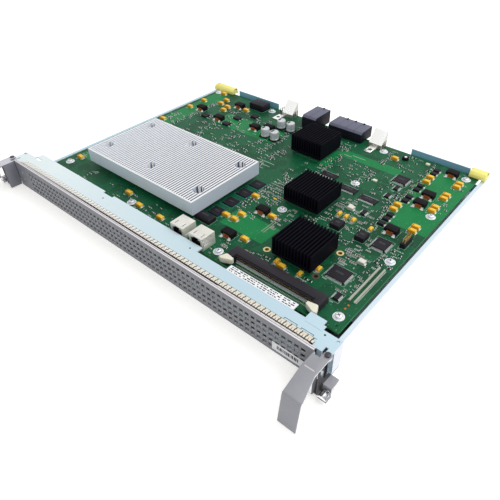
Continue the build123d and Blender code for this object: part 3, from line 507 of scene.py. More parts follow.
@dataclass(frozen=True)
class PaintedShadeFinish(Finish):
    """A finish with painted shade inside a zone, such as down in grooves and between webs."""

    painted_shade: Colour = (0.05, 0.05, 0.06)
    painted_shade_far: Colour = (0.05, 0.05, 0.06)
    zone: Zone = Zone((0.0, 0.0), (0.0, 0.0), 0.0)

    def tint(self, graph: Graph, colour: bpy.types.NodeSocket) -> bpy.types.NodeSocket:
        """Mix in the painted shade inside the zone, whose colour drifts along X.

        Args:
            graph: the material's graph.
            colour: the colour so far.

        Returns:
            The colour's socket.
        """
        share = drift(graph, self.zone.low[0], self.zone.high[0])
        painted_shade = graph.mix(share, self.painted_shade, self.painted_shade_far)
        return graph.mix(self.zone.mask(graph), super().tint(graph, colour), painted_shade)


@dataclass(frozen=True)
class BoardFinish(Finish):
    """Green solder mask with pours, tracks, vias and a pale cut edge."""

    pour: Colour = (0.006, 0.30, 0.075)
    track: Colour = (0.010, 0.14, 0.058)
    via: Colour = (0.16, 0.34, 0.20)
    edge: Colour = (0.08, 0.40, 0.14)
    pours: tuple[tuple[float, float, float, float], ...] = ()
    track_pitch: float = 0.0011
    pour_share: float = 0.55
    level: float = 0.5

    def tint(self, graph: Graph, colour: bpy.types.NodeSocket) -> bpy.types.NodeSocket:
        """Lay pours, tracks, vias and the cut edge over the mask's colour.

        Args:
            graph: the material's graph.
            colour: the colour so far.

        Returns:
            The colour's socket.
        """
        copper = graph.add("ShaderNodeGroup", {"Pitch": self.track_pitch},
                           node_tree=GROUPS["tracks"]).outputs
        colour = graph.mix(copper["Tracks"], colour, self.track)
        for x0, x1, y0, y1 in self.pours:
            share = graph.sum("MULTIPLY", zone_mask(graph, (x0, y0), (x1, y1)), self.pour_share)
            colour = graph.mix(share, colour, self.pour)
        colour = graph.mix(copper["Vias"], colour, self.via)
        tilt = graph.sum("ABSOLUTE", graph.axes(graph.normal())[2])
        return graph.mix(graph.sum("LESS_THAN", tilt, self.level), colour, self.edge)


@dataclass(frozen=True)
class BlendFinish(Finish):
    """A finish whose colour drifts along X: painted light and shade, as studio light falls along plated
    strips.
    """

    far: Colour = (0.8, 0.8, 0.8)
    start: float = -200.0
    end: float = 200.0

    def tint(self, graph: Graph, colour: bpy.types.NodeSocket) -> bpy.types.NodeSocket:
        """Drift from the colour to the far colour along X."""
        drifted = graph.mix(drift(graph, self.start, self.end), colour, self.far)
        return super().tint(graph, drifted)


@dataclass(frozen=True)
class ShadedFinish(BlendFinish):
    """Plate with painted light drifting along X, and painted shade inside, behind the grille."""

    painted_shade: Colour = (0.045, 0.05, 0.055)
    zone: Zone = Zone((-194.0, 0.0), (194.0, 4.2), 26.4)

    def tint(self, graph: Graph, colour: bpy.types.NodeSocket) -> bpy.types.NodeSocket:
        """Drift as its parent does, and add painted shade inside the zone, behind the grille."""
        return graph.mix(self.zone.mask(graph), super().tint(graph, colour), self.painted_shade)


@dataclass(frozen=True)
class StripFinish(BlendFinish):
    """The shielding strip's finish: bright fingers, with painted shade on the base between them and on
    their fronts.
    """

    # painted shade on the strip's base between the fingers, and on the fingers' fronts, fading in along
    # X
    base_shade: Colour = (0.16, 0.13, 0.09)
    base_height: float = 27.50
    front: Colour = (0.05, 0.035, 0.028)
    front_y: float = 5.2
    front_from: float = -170.0
    front_whole: float = -60.0

    def tint(self, graph: Graph, colour: bpy.types.NodeSocket) -> bpy.types.NodeSocket:
        """Drift along X as its parent does, and add painted shade on the base and on the fingers'
        fronts.

        Args:
            graph: the material's graph.
            colour: the colour so far.

        Returns:
            The colour's socket.
        """
        here = graph.axes()
        low = graph.sum("LESS_THAN", here[2], self.base_height * MM)
        near = graph.sum("LESS_THAN", here[1], self.front_y * MM)
        shown = graph.mix(low, super().tint(graph, colour), self.base_shade)
        share = graph.sum("MULTIPLY", near, drift(graph, self.front_from, self.front_whole))
        return graph.mix(share, shown, self.front)


GROUPS = {"grain": grain_group(), "zone": zone_group(), "tracks": trace_group()}

SINK_LOW, SINK_HIGH = box("main_heatsink")
RIM = 1.6

# Tray zinc with painted light: a drift along X, a painted highlight on faces toward +X, painted shade on
# faces toward the front, and painted shade on the tray floor behind the grille.
ZINC = ShadedFinish("zinc_sheet", (0.52, 0.72, 0.84), (0.64, 0.79, 0.88), 0.40, 0.2, 60.0,
                    (1.0, 1.0, 1.0), 0.5, 0.03, far=(0.66, 0.77, 0.85), start=-180.0, end=200.0,
                    faces=(PaintedFacingLight((1.0, 0.0, 0.0), (0.97, 0.98, 1.0)),
                           PaintedFacingLight((0.0, -1.0, 0.0), (0.28, 0.56, 0.76))),
                    painted_shade=(0.09, 0.10, 0.11), zone=Zone((-192.0, 1.0), (192.0, 60.0), 18.0, 0.4))
# Faceplate powder coat; its top faces are lighter: a painted highlight.
FRONT_PAINT = Finish("front_powder_coat", (0.235, 0.245, 0.27), (0.275, 0.285, 0.305), 0.48, 0.1,
                     1400.0, amount=0.7, bump=0.12,
                     faces=(PaintedFacingLight((0.0, 0.0, 1.0), (0.80, 0.77, 0.80)),))
# Right lever paint: a painted highlight on its faces toward +X, and painted shade in its webs below the
# top plate, darker toward +X.
WEBS = Zone((190.0, -26.0), (207.6, 10.0), 27.3)
LEVER_PAINT = PaintedShadeFinish("lever_powder_coat", (0.32, 0.325, 0.36), (0.37, 0.37, 0.40), 0.45, 0.05,
                          1500.0, amount=0.6, bump=0.12,
                          faces=(PaintedFacingLight((1.0, 0.0, 0.0), (0.95, 0.95, 0.99), 0.5),),
                          painted_shade=(0.14, 0.14, 0.155), painted_shade_far=(0.07, 0.07, 0.08), zone=WEBS)
# The left lever's paint: a darker, shaded copy of the right lever's, with a painted highlight on its top
# faces.
SHADED_LEVER_PAINT = Finish("far_lever_coat", (0.22, 0.225, 0.26), (0.27, 0.275, 0.31), 0.45, 0.05,
                         1500.0, amount=0.6, bump=0.12,
                         faces=(PaintedFacingLight((0.0, 0.0, 1.0), (0.66, 0.66, 0.74)),))
# A pale strip along each lever's fold: a painted highlight.
FOLD_HIGHLIGHT = Finish("fold_line", (0.66, 0.58, 0.60), (0.78, 0.72, 0.74), 0.5, 0.0, 900.0)
# Front frame tin plate with painted light: a drift along X, a painted highlight on faces toward +X, and
# painted shade on the wall behind the grille.
FRAME_PLATE = ShadedFinish("tin_plate", (0.82, 0.94, 0.96), (0.92, 0.98, 0.99), 0.42, 0.15, 90.0,
                           (1.0, 3.0, 3.0), 0.6, 0.03, far=(0.54, 0.71, 0.80), start=-150.0,
                           end=120.0, faces=(PaintedFacingLight((1.0, 0.0, 0.0), (0.84, 0.86, 0.94)),))
# The strip's fingers and tails drift from pale at the left to tan at the right: painted light. STRIP
# also has painted shade on its base and on the fingers' fronts.
STRIP = StripFinish("spring_strip", (0.90, 0.89, 0.84), (0.97, 0.96, 0.93), 0.34, 0.15, 900.0,
                    amount=0.8, bump=0.05, far=(0.84, 0.78, 0.66), start=-60.0, end=190.0)
TAIL = BlendFinish("strip_tail", (0.93, 0.93, 0.90), (0.97, 0.97, 0.95), 0.4, 0.1, 900.0,
                   far=(0.74, 0.70, 0.58), start=-60.0, end=190.0)
# A dark band in front of the strip: painted shadow, fading out toward the left.
SHADOW_BAND = BlendFinish("strip_shadow", (0.50, 0.50, 0.50), (0.58, 0.57, 0.56), 0.6, 0.0, 900.0,
                   shine=0.1, far=(0.035, 0.025, 0.020), start=-180.0, end=-60.0)
# The fingers' curled fronts are made only toward the right end and coloured as a painted highlight.
CURL_HIGHLIGHT = Finish("bright_curl", (0.90, 0.86, 0.82), (0.97, 0.94, 0.92), 0.28, 0.2, 900.0)
# Filling of the strip's slits and a line behind its tails: painted shade, pale at the left and dark
# toward the right.
SHADE = BlendFinish("strip_shade", (0.50, 0.49, 0.46), (0.60, 0.58, 0.55), 0.6, 0.0, 900.0,
                    shine=0.1, far=(0.10, 0.085, 0.055), start=-150.0, end=40.0)
LIGHT = Finish("light_window", (0.62, 0.68, 0.64), (0.70, 0.75, 0.72), 0.2, 0.0, 500.0)
MASK = BoardFinish("solder_mask", (0.003, 0.058, 0.024), (0.006, 0.092, 0.037), 0.42, 0.0, 240.0,
                   amount=0.8, bump=0.04, shine=0.14,
                   pours=((58.0, 128.0, 243.0, 257.0), (150.0, 195.0, 168.0, 278.0),
                          (40.0, 90.0, 70.0, 96.0), (-168.0, -146.0, 60.0, 280.0),
                          (-110.0, -20.0, 215.0, 245.0), (20.0, 60.0, 214.0, 250.0)))
ZINC_STEEL = Finish("zinc_plated_steel", (0.50, 0.52, 0.56), (0.70, 0.71, 0.74), 0.22, 0.85, 700.0)
BRIGHT_ZINC = Finish("bright_zinc", (0.70, 0.73, 0.80), (0.93, 0.94, 0.97), 0.22, 0.35, 500.0,
                     amount=1.0)
DARK_STEEL = Finish("dark_steel", (0.035, 0.035, 0.045), (0.12, 0.12, 0.14), 0.3, 0.6, 900.0)
# Captive screw chrome: near-black and near-white patches and a white front face are a painted
# reflection.
CHROME_REFLECTION = Finish("bright_chrome", (0.02, 0.02, 0.03), (0.75, 0.75, 0.80), 0.14, 0.8, 420.0,
                amount=1.0, bump=0.1, faces=(PaintedFacingLight((0.0, -1.0, 0.0), (0.97, 0.97, 0.98), 0.9),))
YELLOW = Finish("guide_yellow", (0.96, 0.88, 0.20), (0.98, 0.93, 0.38), 0.42, 0.0, 300.0, bump=0.04)
# Milled heatsink: painted shade down in its grooves, pale toward -X and dark toward +X and kept clear
# round the screws, and painted shade on faces toward +X and the front.
ALUMINIUM = PaintedShadeFinish("machined_aluminium", (0.93, 0.95, 0.98), (0.98, 0.98, 0.99), 0.36, 0.05,
                        420.0, (1.0, 0.04, 1.0), 0.7, 0.05, painted_shade=(0.70, 0.74, 0.82),
                        painted_shade_far=(0.14, 0.15, 0.20),
                        faces=(PaintedFacingLight((1.0, 0.0, 0.0), (0.60, 0.67, 0.78), 0.999),
                               PaintedFacingLight((0.0, -1.0, 0.0), (0.70, 0.80, 0.88), 0.999)),
                        zone=Zone((SINK_LOW.x + RIM / 2, SINK_LOW.y + RIM / 2),
                                  (SINK_HIGH.x - RIM / 2, SINK_HIGH.y - RIM / 2), SINK_HIGH.z - 0.5,
                                  clear=tuple((place.x, place.y)
                                              for place in centres("heatsink_screws"))))
BLACK = Finish("black_anodised", (0.0018, 0.0018, 0.0045), (0.004, 0.004, 0.008), 0.62, 0.0, 600.0,
               (1.0, 0.1, 1.0), 0.7, 0.03, 0.05)
CHIP = Finish("moulding_compound", (0.012, 0.011, 0.016), (0.024, 0.022, 0.028), 0.5, 0.0, 2200.0,
              amount=0.7, bump=0.06, shine=0.12)
CARRIER = Finish("chip_carrier", (0.02, 0.10, 0.05), (0.03, 0.14, 0.07), 0.45, 0.0, 500.0)
SHIELD = Finish("tinned_shield", (0.74, 0.73, 0.66), (0.88, 0.87, 0.82), 0.30, 0.35, 260.0,
                amount=0.6, bump=0.03)
SOCKET = Finish("charcoal_plastic", (0.020, 0.018, 0.024), (0.032, 0.029, 0.036), 0.45, 0.0,
                1200.0, bump=0.05, shine=0.15)
IVORY = Finish("ivory_plastic", (0.80, 0.78, 0.62), (0.88, 0.86, 0.74), 0.4, 0.0, 500.0, bump=0.03)
PLUG_BLACK = Finish("connector_black", (0.009, 0.009, 0.014), (0.018, 0.018, 0.026), 0.46, 0.0,
                    1200.0, bump=0.05, shine=0.12)
# Black connector shells whose top faces are lighter: a painted highlight.
CONNECTOR = Finish("connector_shell", (0.009, 0.009, 0.016), (0.018, 0.018, 0.028), 0.46, 0.0,
                   1200.0, bump=0.05, shine=0.12,
                   faces=(PaintedFacingLight((0.0, 0.0, 1.0), (0.15, 0.155, 0.215)),))
# Die-cast guide sockets whose top faces are near-white: a painted highlight.
CAST = Finish("die_cast", (0.50, 0.49, 0.44), (0.66, 0.65, 0.60), 0.24, 0.7, 900.0, bump=0.0,
              faces=(PaintedFacingLight((0.0, 0.0, 1.0), (0.98, 0.98, 0.96), 0.4),))
CAN = Finish("can_sleeve", (0.60, 0.62, 0.66), (0.78, 0.80, 0.84), 0.3, 0.4, 500.0)
FERRITE = Finish("ferrite", (0.006, 0.005, 0.007), (0.014, 0.012, 0.014), 0.6, 0.0, 1500.0,
                 bump=0.08, shine=0.08)
COPPER = Finish("flat_copper", (0.55, 0.13, 0.035), (0.68, 0.22, 0.08), 0.32, 0.35, 700.0)
# Yellow epoxy whose faces toward the front are darker orange: painted shade.
TANTALUM = Finish("yellow_epoxy", (0.94, 0.55, 0.03), (0.97, 0.66, 0.08), 0.38, 0.0, 900.0,
                  bump=0.04, faces=(PaintedFacingLight((0.0, -1.0, 0.0), (0.72, 0.34, 0.012)),))
GOLD = Finish("gold_plate", (0.72, 0.52, 0.20), (0.86, 0.68, 0.36), 0.3, 0.6, 500.0)
CERAMIC = Finish("beige_ceramic", (0.40, 0.40, 0.34), (0.50, 0.50, 0.43), 0.5, 0.0, 900.0)
TIN = Finish("solder_tin", (0.74, 0.77, 0.76), (0.90, 0.92, 0.90), 0.32, 0.25, 900.0)
PALE_PAD = Finish("pale_pad", (0.84, 0.87, 0.88), (0.92, 0.94, 0.94), 0.4, 0.1, 900.0)
PAPER = Finish("label_paper", (0.94, 0.95, 0.97), (0.98, 0.98, 0.99), 0.5, 0.0, 600.0, bump=0.02)
# Black ink for the labels' print and the cans' marks, and a dark colour for the shrouds' seams; also
# used as painted shade in the screws' recesses, the guides' slots and the flange's slits, outlines and
# holes.
INK_AND_SHADE = Finish("label_ink", (0.020, 0.020, 0.026), (0.045, 0.045, 0.052), 0.5, 0.0, 600.0, shine=0.15)
SILK = Finish("silkscreen", (0.36, 0.52, 0.42), (0.48, 0.62, 0.52), 0.5, 0.0, 600.0)
BROWN_CHIP = Finish("capacitor_tan", (0.07, 0.055, 0.04), (0.15, 0.11, 0.075), 0.4, 0.0, 900.0)
DARK_CHIP = Finish("resistor_black", (0.010, 0.011, 0.014), (0.022, 0.022, 0.026), 0.35, 0.0, 900.0)
TEAL = Finish("teal_field", (0.012, 0.15, 0.11), (0.02, 0.19, 0.14), 0.4, 0.0, 700.0, shine=0.2)
AMBER = Finish("amber_band", (0.50, 0.22, 0.02), (0.58, 0.28, 0.04), 0.4, 0.0, 900.0)
FAINT = Finish("faint_print", (0.075, 0.072, 0.085), (0.11, 0.105, 0.12), 0.5, 0.0, 900.0)
ORANGE = Finish("orange_epoxy", (0.62, 0.15, 0.012), (0.72, 0.22, 0.03), 0.38, 0.0, 900.0)

NODE_FINISHES: dict[str, Finish] = {
    "carrier_tray": ZINC, "faceplate": FRONT_PAINT, "indicator_lights": LIGHT,
    "front_frame": FRAME_PLATE, "frame_rivets": FRAME_PLATE, "shielding_strip": STRIP,
    "circuit_board": MASK, "board_standoffs": ZINC_STEEL, "board_screws": ZINC_STEEL,
    "corner_guide_left": YELLOW, "corner_guide_right": YELLOW, "main_heatsink": ALUMINIUM,
    "heatsink_screws": ZINC_STEEL, "processor_chips": CHIP, "heatsink_rear": BLACK,
    "heatsink_middle": BLACK, "heatsink_front": BLACK, "cooled_chips": CARRIER,
    "network_jack_left": SHIELD, "network_jack_right": SHIELD, "memory_socket": SOCKET,
    "socket_latch_left": IVORY, "socket_latch_right": IVORY,
    "backplane_connector_small": CONNECTOR, "backplane_connector_large": CONNECTOR,
    "guide_socket_left": CAST, "guide_socket_right": CAST, "electrolytic_capacitors": CAN,
    "inductor_cores": FERRITE, "inductor_coils": COPPER, "tantalum_capacitors": TANTALUM,
    "small_tantalums": TANTALUM, "quad_chips": CHIP, "tsop_chips": CHIP, "outline_chips": CHIP,
    "memory_chips": CHIP, "power_modules": CHIP, "pin_header": PLUG_BLACK, "header_pins": GOLD,
    "terminator_strips": CERAMIC, "crystal_can": SHIELD, "oscillator_can": SHIELD,
    "output_rectifiers": CHIP, "relay_block": PLUG_BLACK, "power_transistors": CHIP,
    "ejector_lever_right": LEVER_PAINT, "ejector_lever_left": SHADED_LEVER_PAINT,
    "pivot_pins": DARK_STEEL, "screw_collar_right": ZINC_STEEL, "screw_collar_left": ZINC_STEEL,
    "captive_screw_right": CHROME_REFLECTION, "captive_screw_left": CHROME_REFLECTION,
}
NODE_BODY = {node: body for body, nodes in frame["record"]["behaviour"]["bodies"].items()
             for node in nodes}


def settle(piece: bpy.types.Object, body: str, finish: Finish | None = None,
           node: str | None = None) -> bpy.types.Object:
    """Give a finished piece its body and finish, let it stand for a node, and report it.

    Args:
        piece: the piece, with its place in its mesh.
        body: the body that it rides on.
        finish: its finish, if it has none yet.
        node: the CAD node that it stands for.

    Returns:
        The piece.
    """
    if finish is not None:
        piece.data.materials.clear()
        piece.data.materials.append(finish.build())
    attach(piece, body)
    if node is not None:
        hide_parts(node)
    log.info("%s: %d faces on %s", piece.name, len(piece.data.polygons), body)
    return piece


def baked(piece: bpy.types.Object) -> bpy.types.Object:
    """Turn a piece with live modifiers into one with a plain mesh.

    Args:
        piece: the piece, whose modifiers are then removed.

    Returns:
        The same piece.
    """
    bpy.context.view_layer.update()
    graph = bpy.context.evaluated_depsgraph_get()
    mesh = bpy.data.meshes.new_from_object(piece.evaluated_get(graph))
    piece.modifiers.clear()
    piece.data = mesh
    return piece


def softened(node: str, width: float, steps: int = 2) -> bpy.types.Object:
    """A copy of a CAD node with its edges rounded, standing for that node.

    Args:
        node: the CAD node.
        width: the rounding in millimetres.
        steps: the rounding's segments.

    Returns:
        The rounded piece.
    """
    shape = welded(node)
    bmesh.ops.dissolve_limit(shape, angle_limit=FLAT_ANGLE, verts=shape.verts, edges=shape.edges)
    piece = linked(to_object(f"{node}_finished", shape))
    bevel = piece.modifiers.new("rounding", "BEVEL")
    bevel.width = width * MM
    bevel.segments = steps
    bevel.limit_method = "ANGLE"
    bevel.angle_limit = ROUNDED_FROM
    bevel.harden_normals = False
    baked(piece)
    smooth(piece.data, SHARP_FROM)
    return settle(piece, NODE_BODY[node], NODE_FINISHES[node], node)


@dataclass(frozen=True)
class Spot:
    """One place of a repeated shape: its middle, its size and its turn about Z."""

    place: Point
    size: Point = (1.0, 1.0, 1.0)
    turn: float = 0.0


class FieldKind(Enum):
    """What a field repeats."""

    BOX = "box"
    TEMPLATE = "template"


def field_tree(kind: FieldKind) -> bpy.types.NodeTree:
    """Geometry Nodes that put one shape at every point of a mesh.

    Args:
        kind: whether the shape is a block or another object.

    Returns:
        The tree, with the size factor, template and finish as named inputs.
    """
    takes = {"Geometry": "Geometry", "Size factor": "Float", "Finish": "Material",
             "Template": "Object"}
    graph, given, out = new_group(f"field_of_{kind.value}", takes, {"Geometry": "Geometry"},
                                  "GeometryNodeTree")
    if kind is FieldKind.BOX:
        shape = graph.add("GeometryNodeMeshCube", {"Size": (1.0, 1.0, 1.0)}).outputs["Mesh"]
    else:
        shape = graph.add("GeometryNodeObjectInfo", {"Object": given["Template"]}).outputs["Geometry"]
    size, turn = (graph.add("GeometryNodeInputNamedAttribute", {"Name": name},
                            data_type="FLOAT_VECTOR").outputs[0] for name in ("size", "turn"))
    scaled = graph.add("ShaderNodeVectorMath", {0: size, "Scale": given["Size factor"]},
                       operation="SCALE").outputs[0]
    rotation = graph.add("FunctionNodeEulerToRotation", {0: turn}).outputs[0]
    inputs = {"Points": given["Geometry"], "Instance": shape, "Rotation": rotation, "Scale": scaled}
    copies = graph.add("GeometryNodeInstanceOnPoints", inputs).outputs[0]
    real = graph.add("GeometryNodeRealizeInstances", {0: copies}).outputs[0]
    done = graph.add("GeometryNodeSetMaterial", {"Geometry": real, "Material": given["Finish"]})
    graph.feed(out["Geometry"], done.outputs[0])
    return graph.tree


FIELD_TREES = {kind: field_tree(kind) for kind in FieldKind}


def field(name: str, spots: list[Spot], finish: Finish,
          template: bpy.types.Object | None = None) -> bpy.types.Object:
    """Repeat a block or a template at many places and bake it into one mesh.

    Args:
        name: the object's name.
        spots: where, how large and how turned each copy is.
        finish: the finish of every copy.
        template: the shape to repeat, or None for a block.

    Returns:
        The object, which rides on nothing yet.
    """
    mesh = bpy.data.meshes.new(name)
    mesh.from_pydata([[value * MM for value in spot.place] for spot in spots], [], [])
    size = mesh.attributes.new("size", "FLOAT_VECTOR", "POINT")
    turn = mesh.attributes.new("turn", "FLOAT_VECTOR", "POINT")
    for index, spot in enumerate(spots):
        size.data[index].vector = spot.size
        turn.data[index].vector = (0.0, 0.0, spot.turn)
    piece = linked(bpy.data.objects.new(name, mesh))
    tree = FIELD_TREES[FieldKind.BOX if template is None else FieldKind.TEMPLATE]
    modifier = piece.modifiers.new("field", "NODES")
    modifier.node_group = tree
    values = {"Size factor": MM if template is None else 1.0, "Finish": finish.build(),
              "Template": template}
    for item in tree.interface.items_tree:
        if item.in_out == "INPUT" and item.name in values and values[item.name] is not None:
            modifier[item.identifier] = values[item.name]
    return baked(piece)


def spread(name: str, spots: list[Spot], finish: Finish, body: str = Body.CHASSIS.value,
           template: bpy.types.Object | None = None, node: str | None = None) -> bpy.types.Object:
    """A field that is a finished piece.

    Args:
        name: the piece's name.
        spots: where, how large and how turned each copy is.
        finish: the finish of every copy.
        body: the body that the piece rides on.
        template: the shape to repeat, or None for a block.
        node: the CAD node that the piece stands for.

    Returns:
        The finished piece.
    """
    return settle(field(name, spots, finish, template), body, None, node)


def standing(node: str, z: float) -> list[Spot]:
    """Spots at one height in the middles of a node's solids."""
    return [Spot((place.x, place.y, z)) for place in centres(node)]


def pad(x: float, y: float, size_x: float, size_y: float) -> Spot:
    """A thin pad on the board's top."""
    return Spot((x, y, BOARD_TOP + PAD_THICK / 2), (size_x, size_y, PAD_THICK))


def lengthwise(low: Vector, high: Vector, off: float, z: float, size: Point) -> Spot:
    """A block beside a solid's middle, along the solid's longer side.

    Args:
        low: the solid's lowest corner.
        high: its highest corner.
        off: the distance from its middle.
        z: the block's height.
        size: the block along that side, across it and upward.

    Returns:
        The block's spot.
    """
    span = high - low
    middle = (low + high) / 2
    if span.x >= span.y:
        return Spot((middle.x + off, middle.y, z), size)
    return Spot((middle.x, middle.y + off, z), (size[1], size[0], size[2]))


def steps(start: float, end: float, step: float) -> list[float]:
    """Evenly spaced values from start up to end."""
    return [start + index * step for index in range(int((end - start) / step) + 1)]


def carved(blank: bpy.types.Object, cutters: list[bpy.types.Object]) -> bpy.types.Object:
    """Cut shapes out of a blank and take them out of the scene.

    Args:
        blank: the object to cut, in the scene.
        cutters: the shapes that are cut away, in the scene.

    Returns:
        The blank with its plain cut mesh.
    """
    for cutter in cutters:
        cut = blank.modifiers.new("cut", "BOOLEAN")
        cut.object = cutter
        cut.operation = "DIFFERENCE"
        cut.solver = "EXACT"
    baked(blank)
    for cutter in cutters:
        bpy.context.scene.collection.objects.unlink(cutter)
    return blank


def turned_profile(name: str, outline: Outline, sides: int, ring: bool = False) -> bpy.types.Object:
    """A template turned about Z from an outline of radius and height in millimetres.

    Args:
        name: the template's name.
        outline: points from the axis at the bottom to the axis at the top, or all round a ring.
        sides: faces round the axis.
        ring: whether the outline closes off the axis, with flat faces.

    Returns:
        The template, which isn't linked to the scene.
    """
    shape = bmesh.new()
    angles = [2 * math.pi * side / sides for side in range(sides)]
    rings = []
    for radius, height in outline:
        rings.append([shape.verts.new((radius * MM * math.cos(angle), radius * MM * math.sin(angle),
                                       height * MM)) for angle in (angles if radius else angles[:1])])
    above = rings[1:] + (rings[:1] if ring else [])
    for low, high in zip(rings, above):
        for side in range(sides):
            after = (side + 1) % sides
            corners = [low[side % len(low)], low[after % len(low)], high[after % len(high)],
                       high[side % len(high)]]
            shape.faces.new(list(dict.fromkeys(corners)))
    bmesh.ops.recalc_face_normals(shape, faces=shape.faces)
    template = to_object(name, shape)
    if not ring:
        smooth(template.data, TURNED_SHARP_FROM)
    return template


def disc(name: str, radius: float, height: float, sides: int) -> bpy.types.Object:
    """A plain round template, which isn't linked to the scene."""
    return turned_profile(name, [(0.0, 0.0), (radius, 0.0), (radius, height), (0.0, height)], sides)


@dataclass
class PhotoCamera:
    """The camera that sees the module as the photo does."""

    place: Point = (295.2, -170.9, 284.6)
    azimuth: float = 40.6
    elevation: float = 40.42
    roll: float = 0.68
    lens: float = 34.34
    shift: tuple[float, float] = (-0.0203, -0.0034)
    sensor: float = 36.0
    nearest: float = 0.01

    def build(self) -> None:
        """Make the camera and set it as the scene's."""
        turn = math.radians(self.azimuth)
        tilt = math.radians(self.elevation)
        roll = math.radians(self.roll)
        ahead = Vector((-math.sin(turn) * math.cos(tilt), math.cos(turn) * math.cos(tilt),
                        -math.sin(tilt)))
        level = Vector((math.cos(turn), math.sin(turn), 0.0))
        down = ahead.cross(level)
        right = math.cos(roll) * level + math.sin(roll) * down
        below = -math.sin(roll) * level + math.cos(roll) * down
        camera = linked(bpy.data.objects.new("camera", bpy.data.cameras.new("camera")))
        axes = Matrix((right, -below, -ahead)).transposed().to_4x4()
        camera.matrix_world = Matrix.Translation(Vector(self.place) * MM) @ axes
        camera.data.sensor_width = self.sensor
        camera.data.lens = self.lens
        camera.data.shift_x, camera.data.shift_y = self.shift
        camera.data.clip_start = self.nearest
        bpy.context.scene.camera = camera


@dataclass
class Studio:
    """A pale floor, a white world and soft lamps."""

    floor_size: float = 6.0
    floor_colour: Colour = (0.93, 0.93, 0.93)
    world_strength: float = 0.54
    key_power: float = 11.5
    fill_power: float = 3.0
    floor_lift: float = 0.45
    glow_colour: Colour = (1.0, 0.985, 0.94)
    aim: Point = (0.0, 0.13, 0.0)

    def build(self) -> None:
        """Make the floor, the world and the lamps."""
        half = self.floor_size / 2
        mesh = bpy.data.meshes.new("floor")
        corners = [(-half, -half, 0.0), (half, -half, 0.0), (half, half, 0.0), (-half, half, 0.0)]
        mesh.from_pydata(corners, [], [(0, 1, 2, 3)])
        floor = linked(bpy.data.objects.new("floor", mesh))
        floor.data.materials.append(self.floor_material())
        self.build_world()
        self.lamp("key_lamp", (0.55, 0.80, 1.20), 1.3, self.key_power)
        self.lamp("fill_lamp", (0.9, -0.6, 0.8), 1.2, self.fill_power)

    def floor_material(self) -> bpy.types.Material:
        """White to the camera where nothing shades it, and shaded under the module.

        Returns:
            The floor's material.
        """
        material = bpy.data.materials.new("floor_sheet")
        material.use_nodes = True
        graph = Graph(material.node_tree)
        shader = graph.add("ShaderNodeBsdfDiffuse", {"Color": paint(self.floor_colour)})
        lift = graph.sum("MULTIPLY", self.direct_sight(graph), self.floor_lift)
        glow = graph.add("ShaderNodeEmission", {"Color": paint(self.glow_colour), "Strength": lift})
        both = graph.add("ShaderNodeAddShader", {0: shader.outputs[0], 1: glow.outputs[0]})
        graph.add("ShaderNodeOutputMaterial", {0: both.outputs[0]})
        return material

    def direct_sight(self, graph: Graph) -> bpy.types.NodeSocket:
        """One for rays that the camera, gloss or glass sends, and zero for light on the module.

        Args:
            graph: the graph of the floor or the world.

        Returns:
            The share's socket.
        """
        rays = graph.add("ShaderNodeLightPath")
        seen = graph.sum("MAXIMUM", rays.outputs["Is Camera Ray"], rays.outputs["Is Glossy Ray"])
        return graph.sum("MAXIMUM", seen, rays.outputs["Is Transmission Ray"])

    def build_world(self) -> None:
        """A plain light all round that the camera and gloss see as white."""
        world = bpy.data.worlds.new("studio")
        bpy.context.scene.world = world
        world.use_nodes = True
        graph = Graph(world.node_tree)
        lift = graph.sum("MULTIPLY", self.direct_sight(graph), 1.0 - self.world_strength)
        strength = graph.sum("ADD", lift, self.world_strength)
        back = graph.add("ShaderNodeBackground", {"Color": (1.0, 1.0, 1.0, 1.0),
                                                  "Strength": strength})
        graph.add("ShaderNodeOutputWorld", {0: back.outputs[0]})

    def lamp(self, name: str, place: Point, size: float, power: float) -> None:
        """A square soft lamp that points at the module's middle.

        Args:
            name: the lamp's name.
            place: where it stands, in metres.
            size: its side in metres.
            power: its power in watts.
        """
        data = bpy.data.lights.new(name, "AREA")
        data.size = size
        data.energy = power
        lamp = linked(bpy.data.objects.new(name, data))
        turn = (Vector(self.aim) - Vector(place)).to_track_quat("-Z", "Y").to_matrix().to_4x4()
        lamp.matrix_world = Matrix.Translation(place) @ turn


def template_prism(name: str, outline: Outline, width: float) -> bpy.types.Object:
    """A template with an (X, Z) outline in millimetres, made solid along Y.

    Args:
        name: the template's name.
        outline: its corners, anticlockwise seen from the front.
        width: its width along Y.

    Returns:
        The template, which isn't linked to the scene.
    """
    shape = bmesh.new()
    front, back = ([shape.verts.new((x * MM, y * MM, z * MM)) for x, z in outline]
                   for y in (-width / 2, width / 2))
    shape.faces.new(front)
    shape.faces.new(list(reversed(back)))
    for index in range(len(outline)):
        after = (index + 1) % len(outline)
        shape.faces.new([front[after], front[index], back[index], back[after]])
    bmesh.ops.recalc_face_normals(shape, faces=shape.faces)
    return to_object(name, shape)


def plan_frame(x0: float, x1: float, y0: float, y1: float, line: float, z: float) -> list[Spot]:
    """Four thin bars round a rectangle in plan.

    Args:
        x0: the rectangle's lowest X.
        x1: its highest X.
        y0: its lowest Y.
        y1: its highest Y.
        line: the bars' width.
        z: the bars' height above the frame's origin.

    Returns:
        The bars' spots.
    """
    spots = [Spot(((x0 + x1) / 2, y, z), (x1 - x0 + line, line, PRINT_THICK)) for y in (y0, y1)]
    spots += [Spot((x, (y0 + y1) / 2, z), (line, y1 - y0 - line, PRINT_THICK)) for x in (x0, x1)]
    return spots


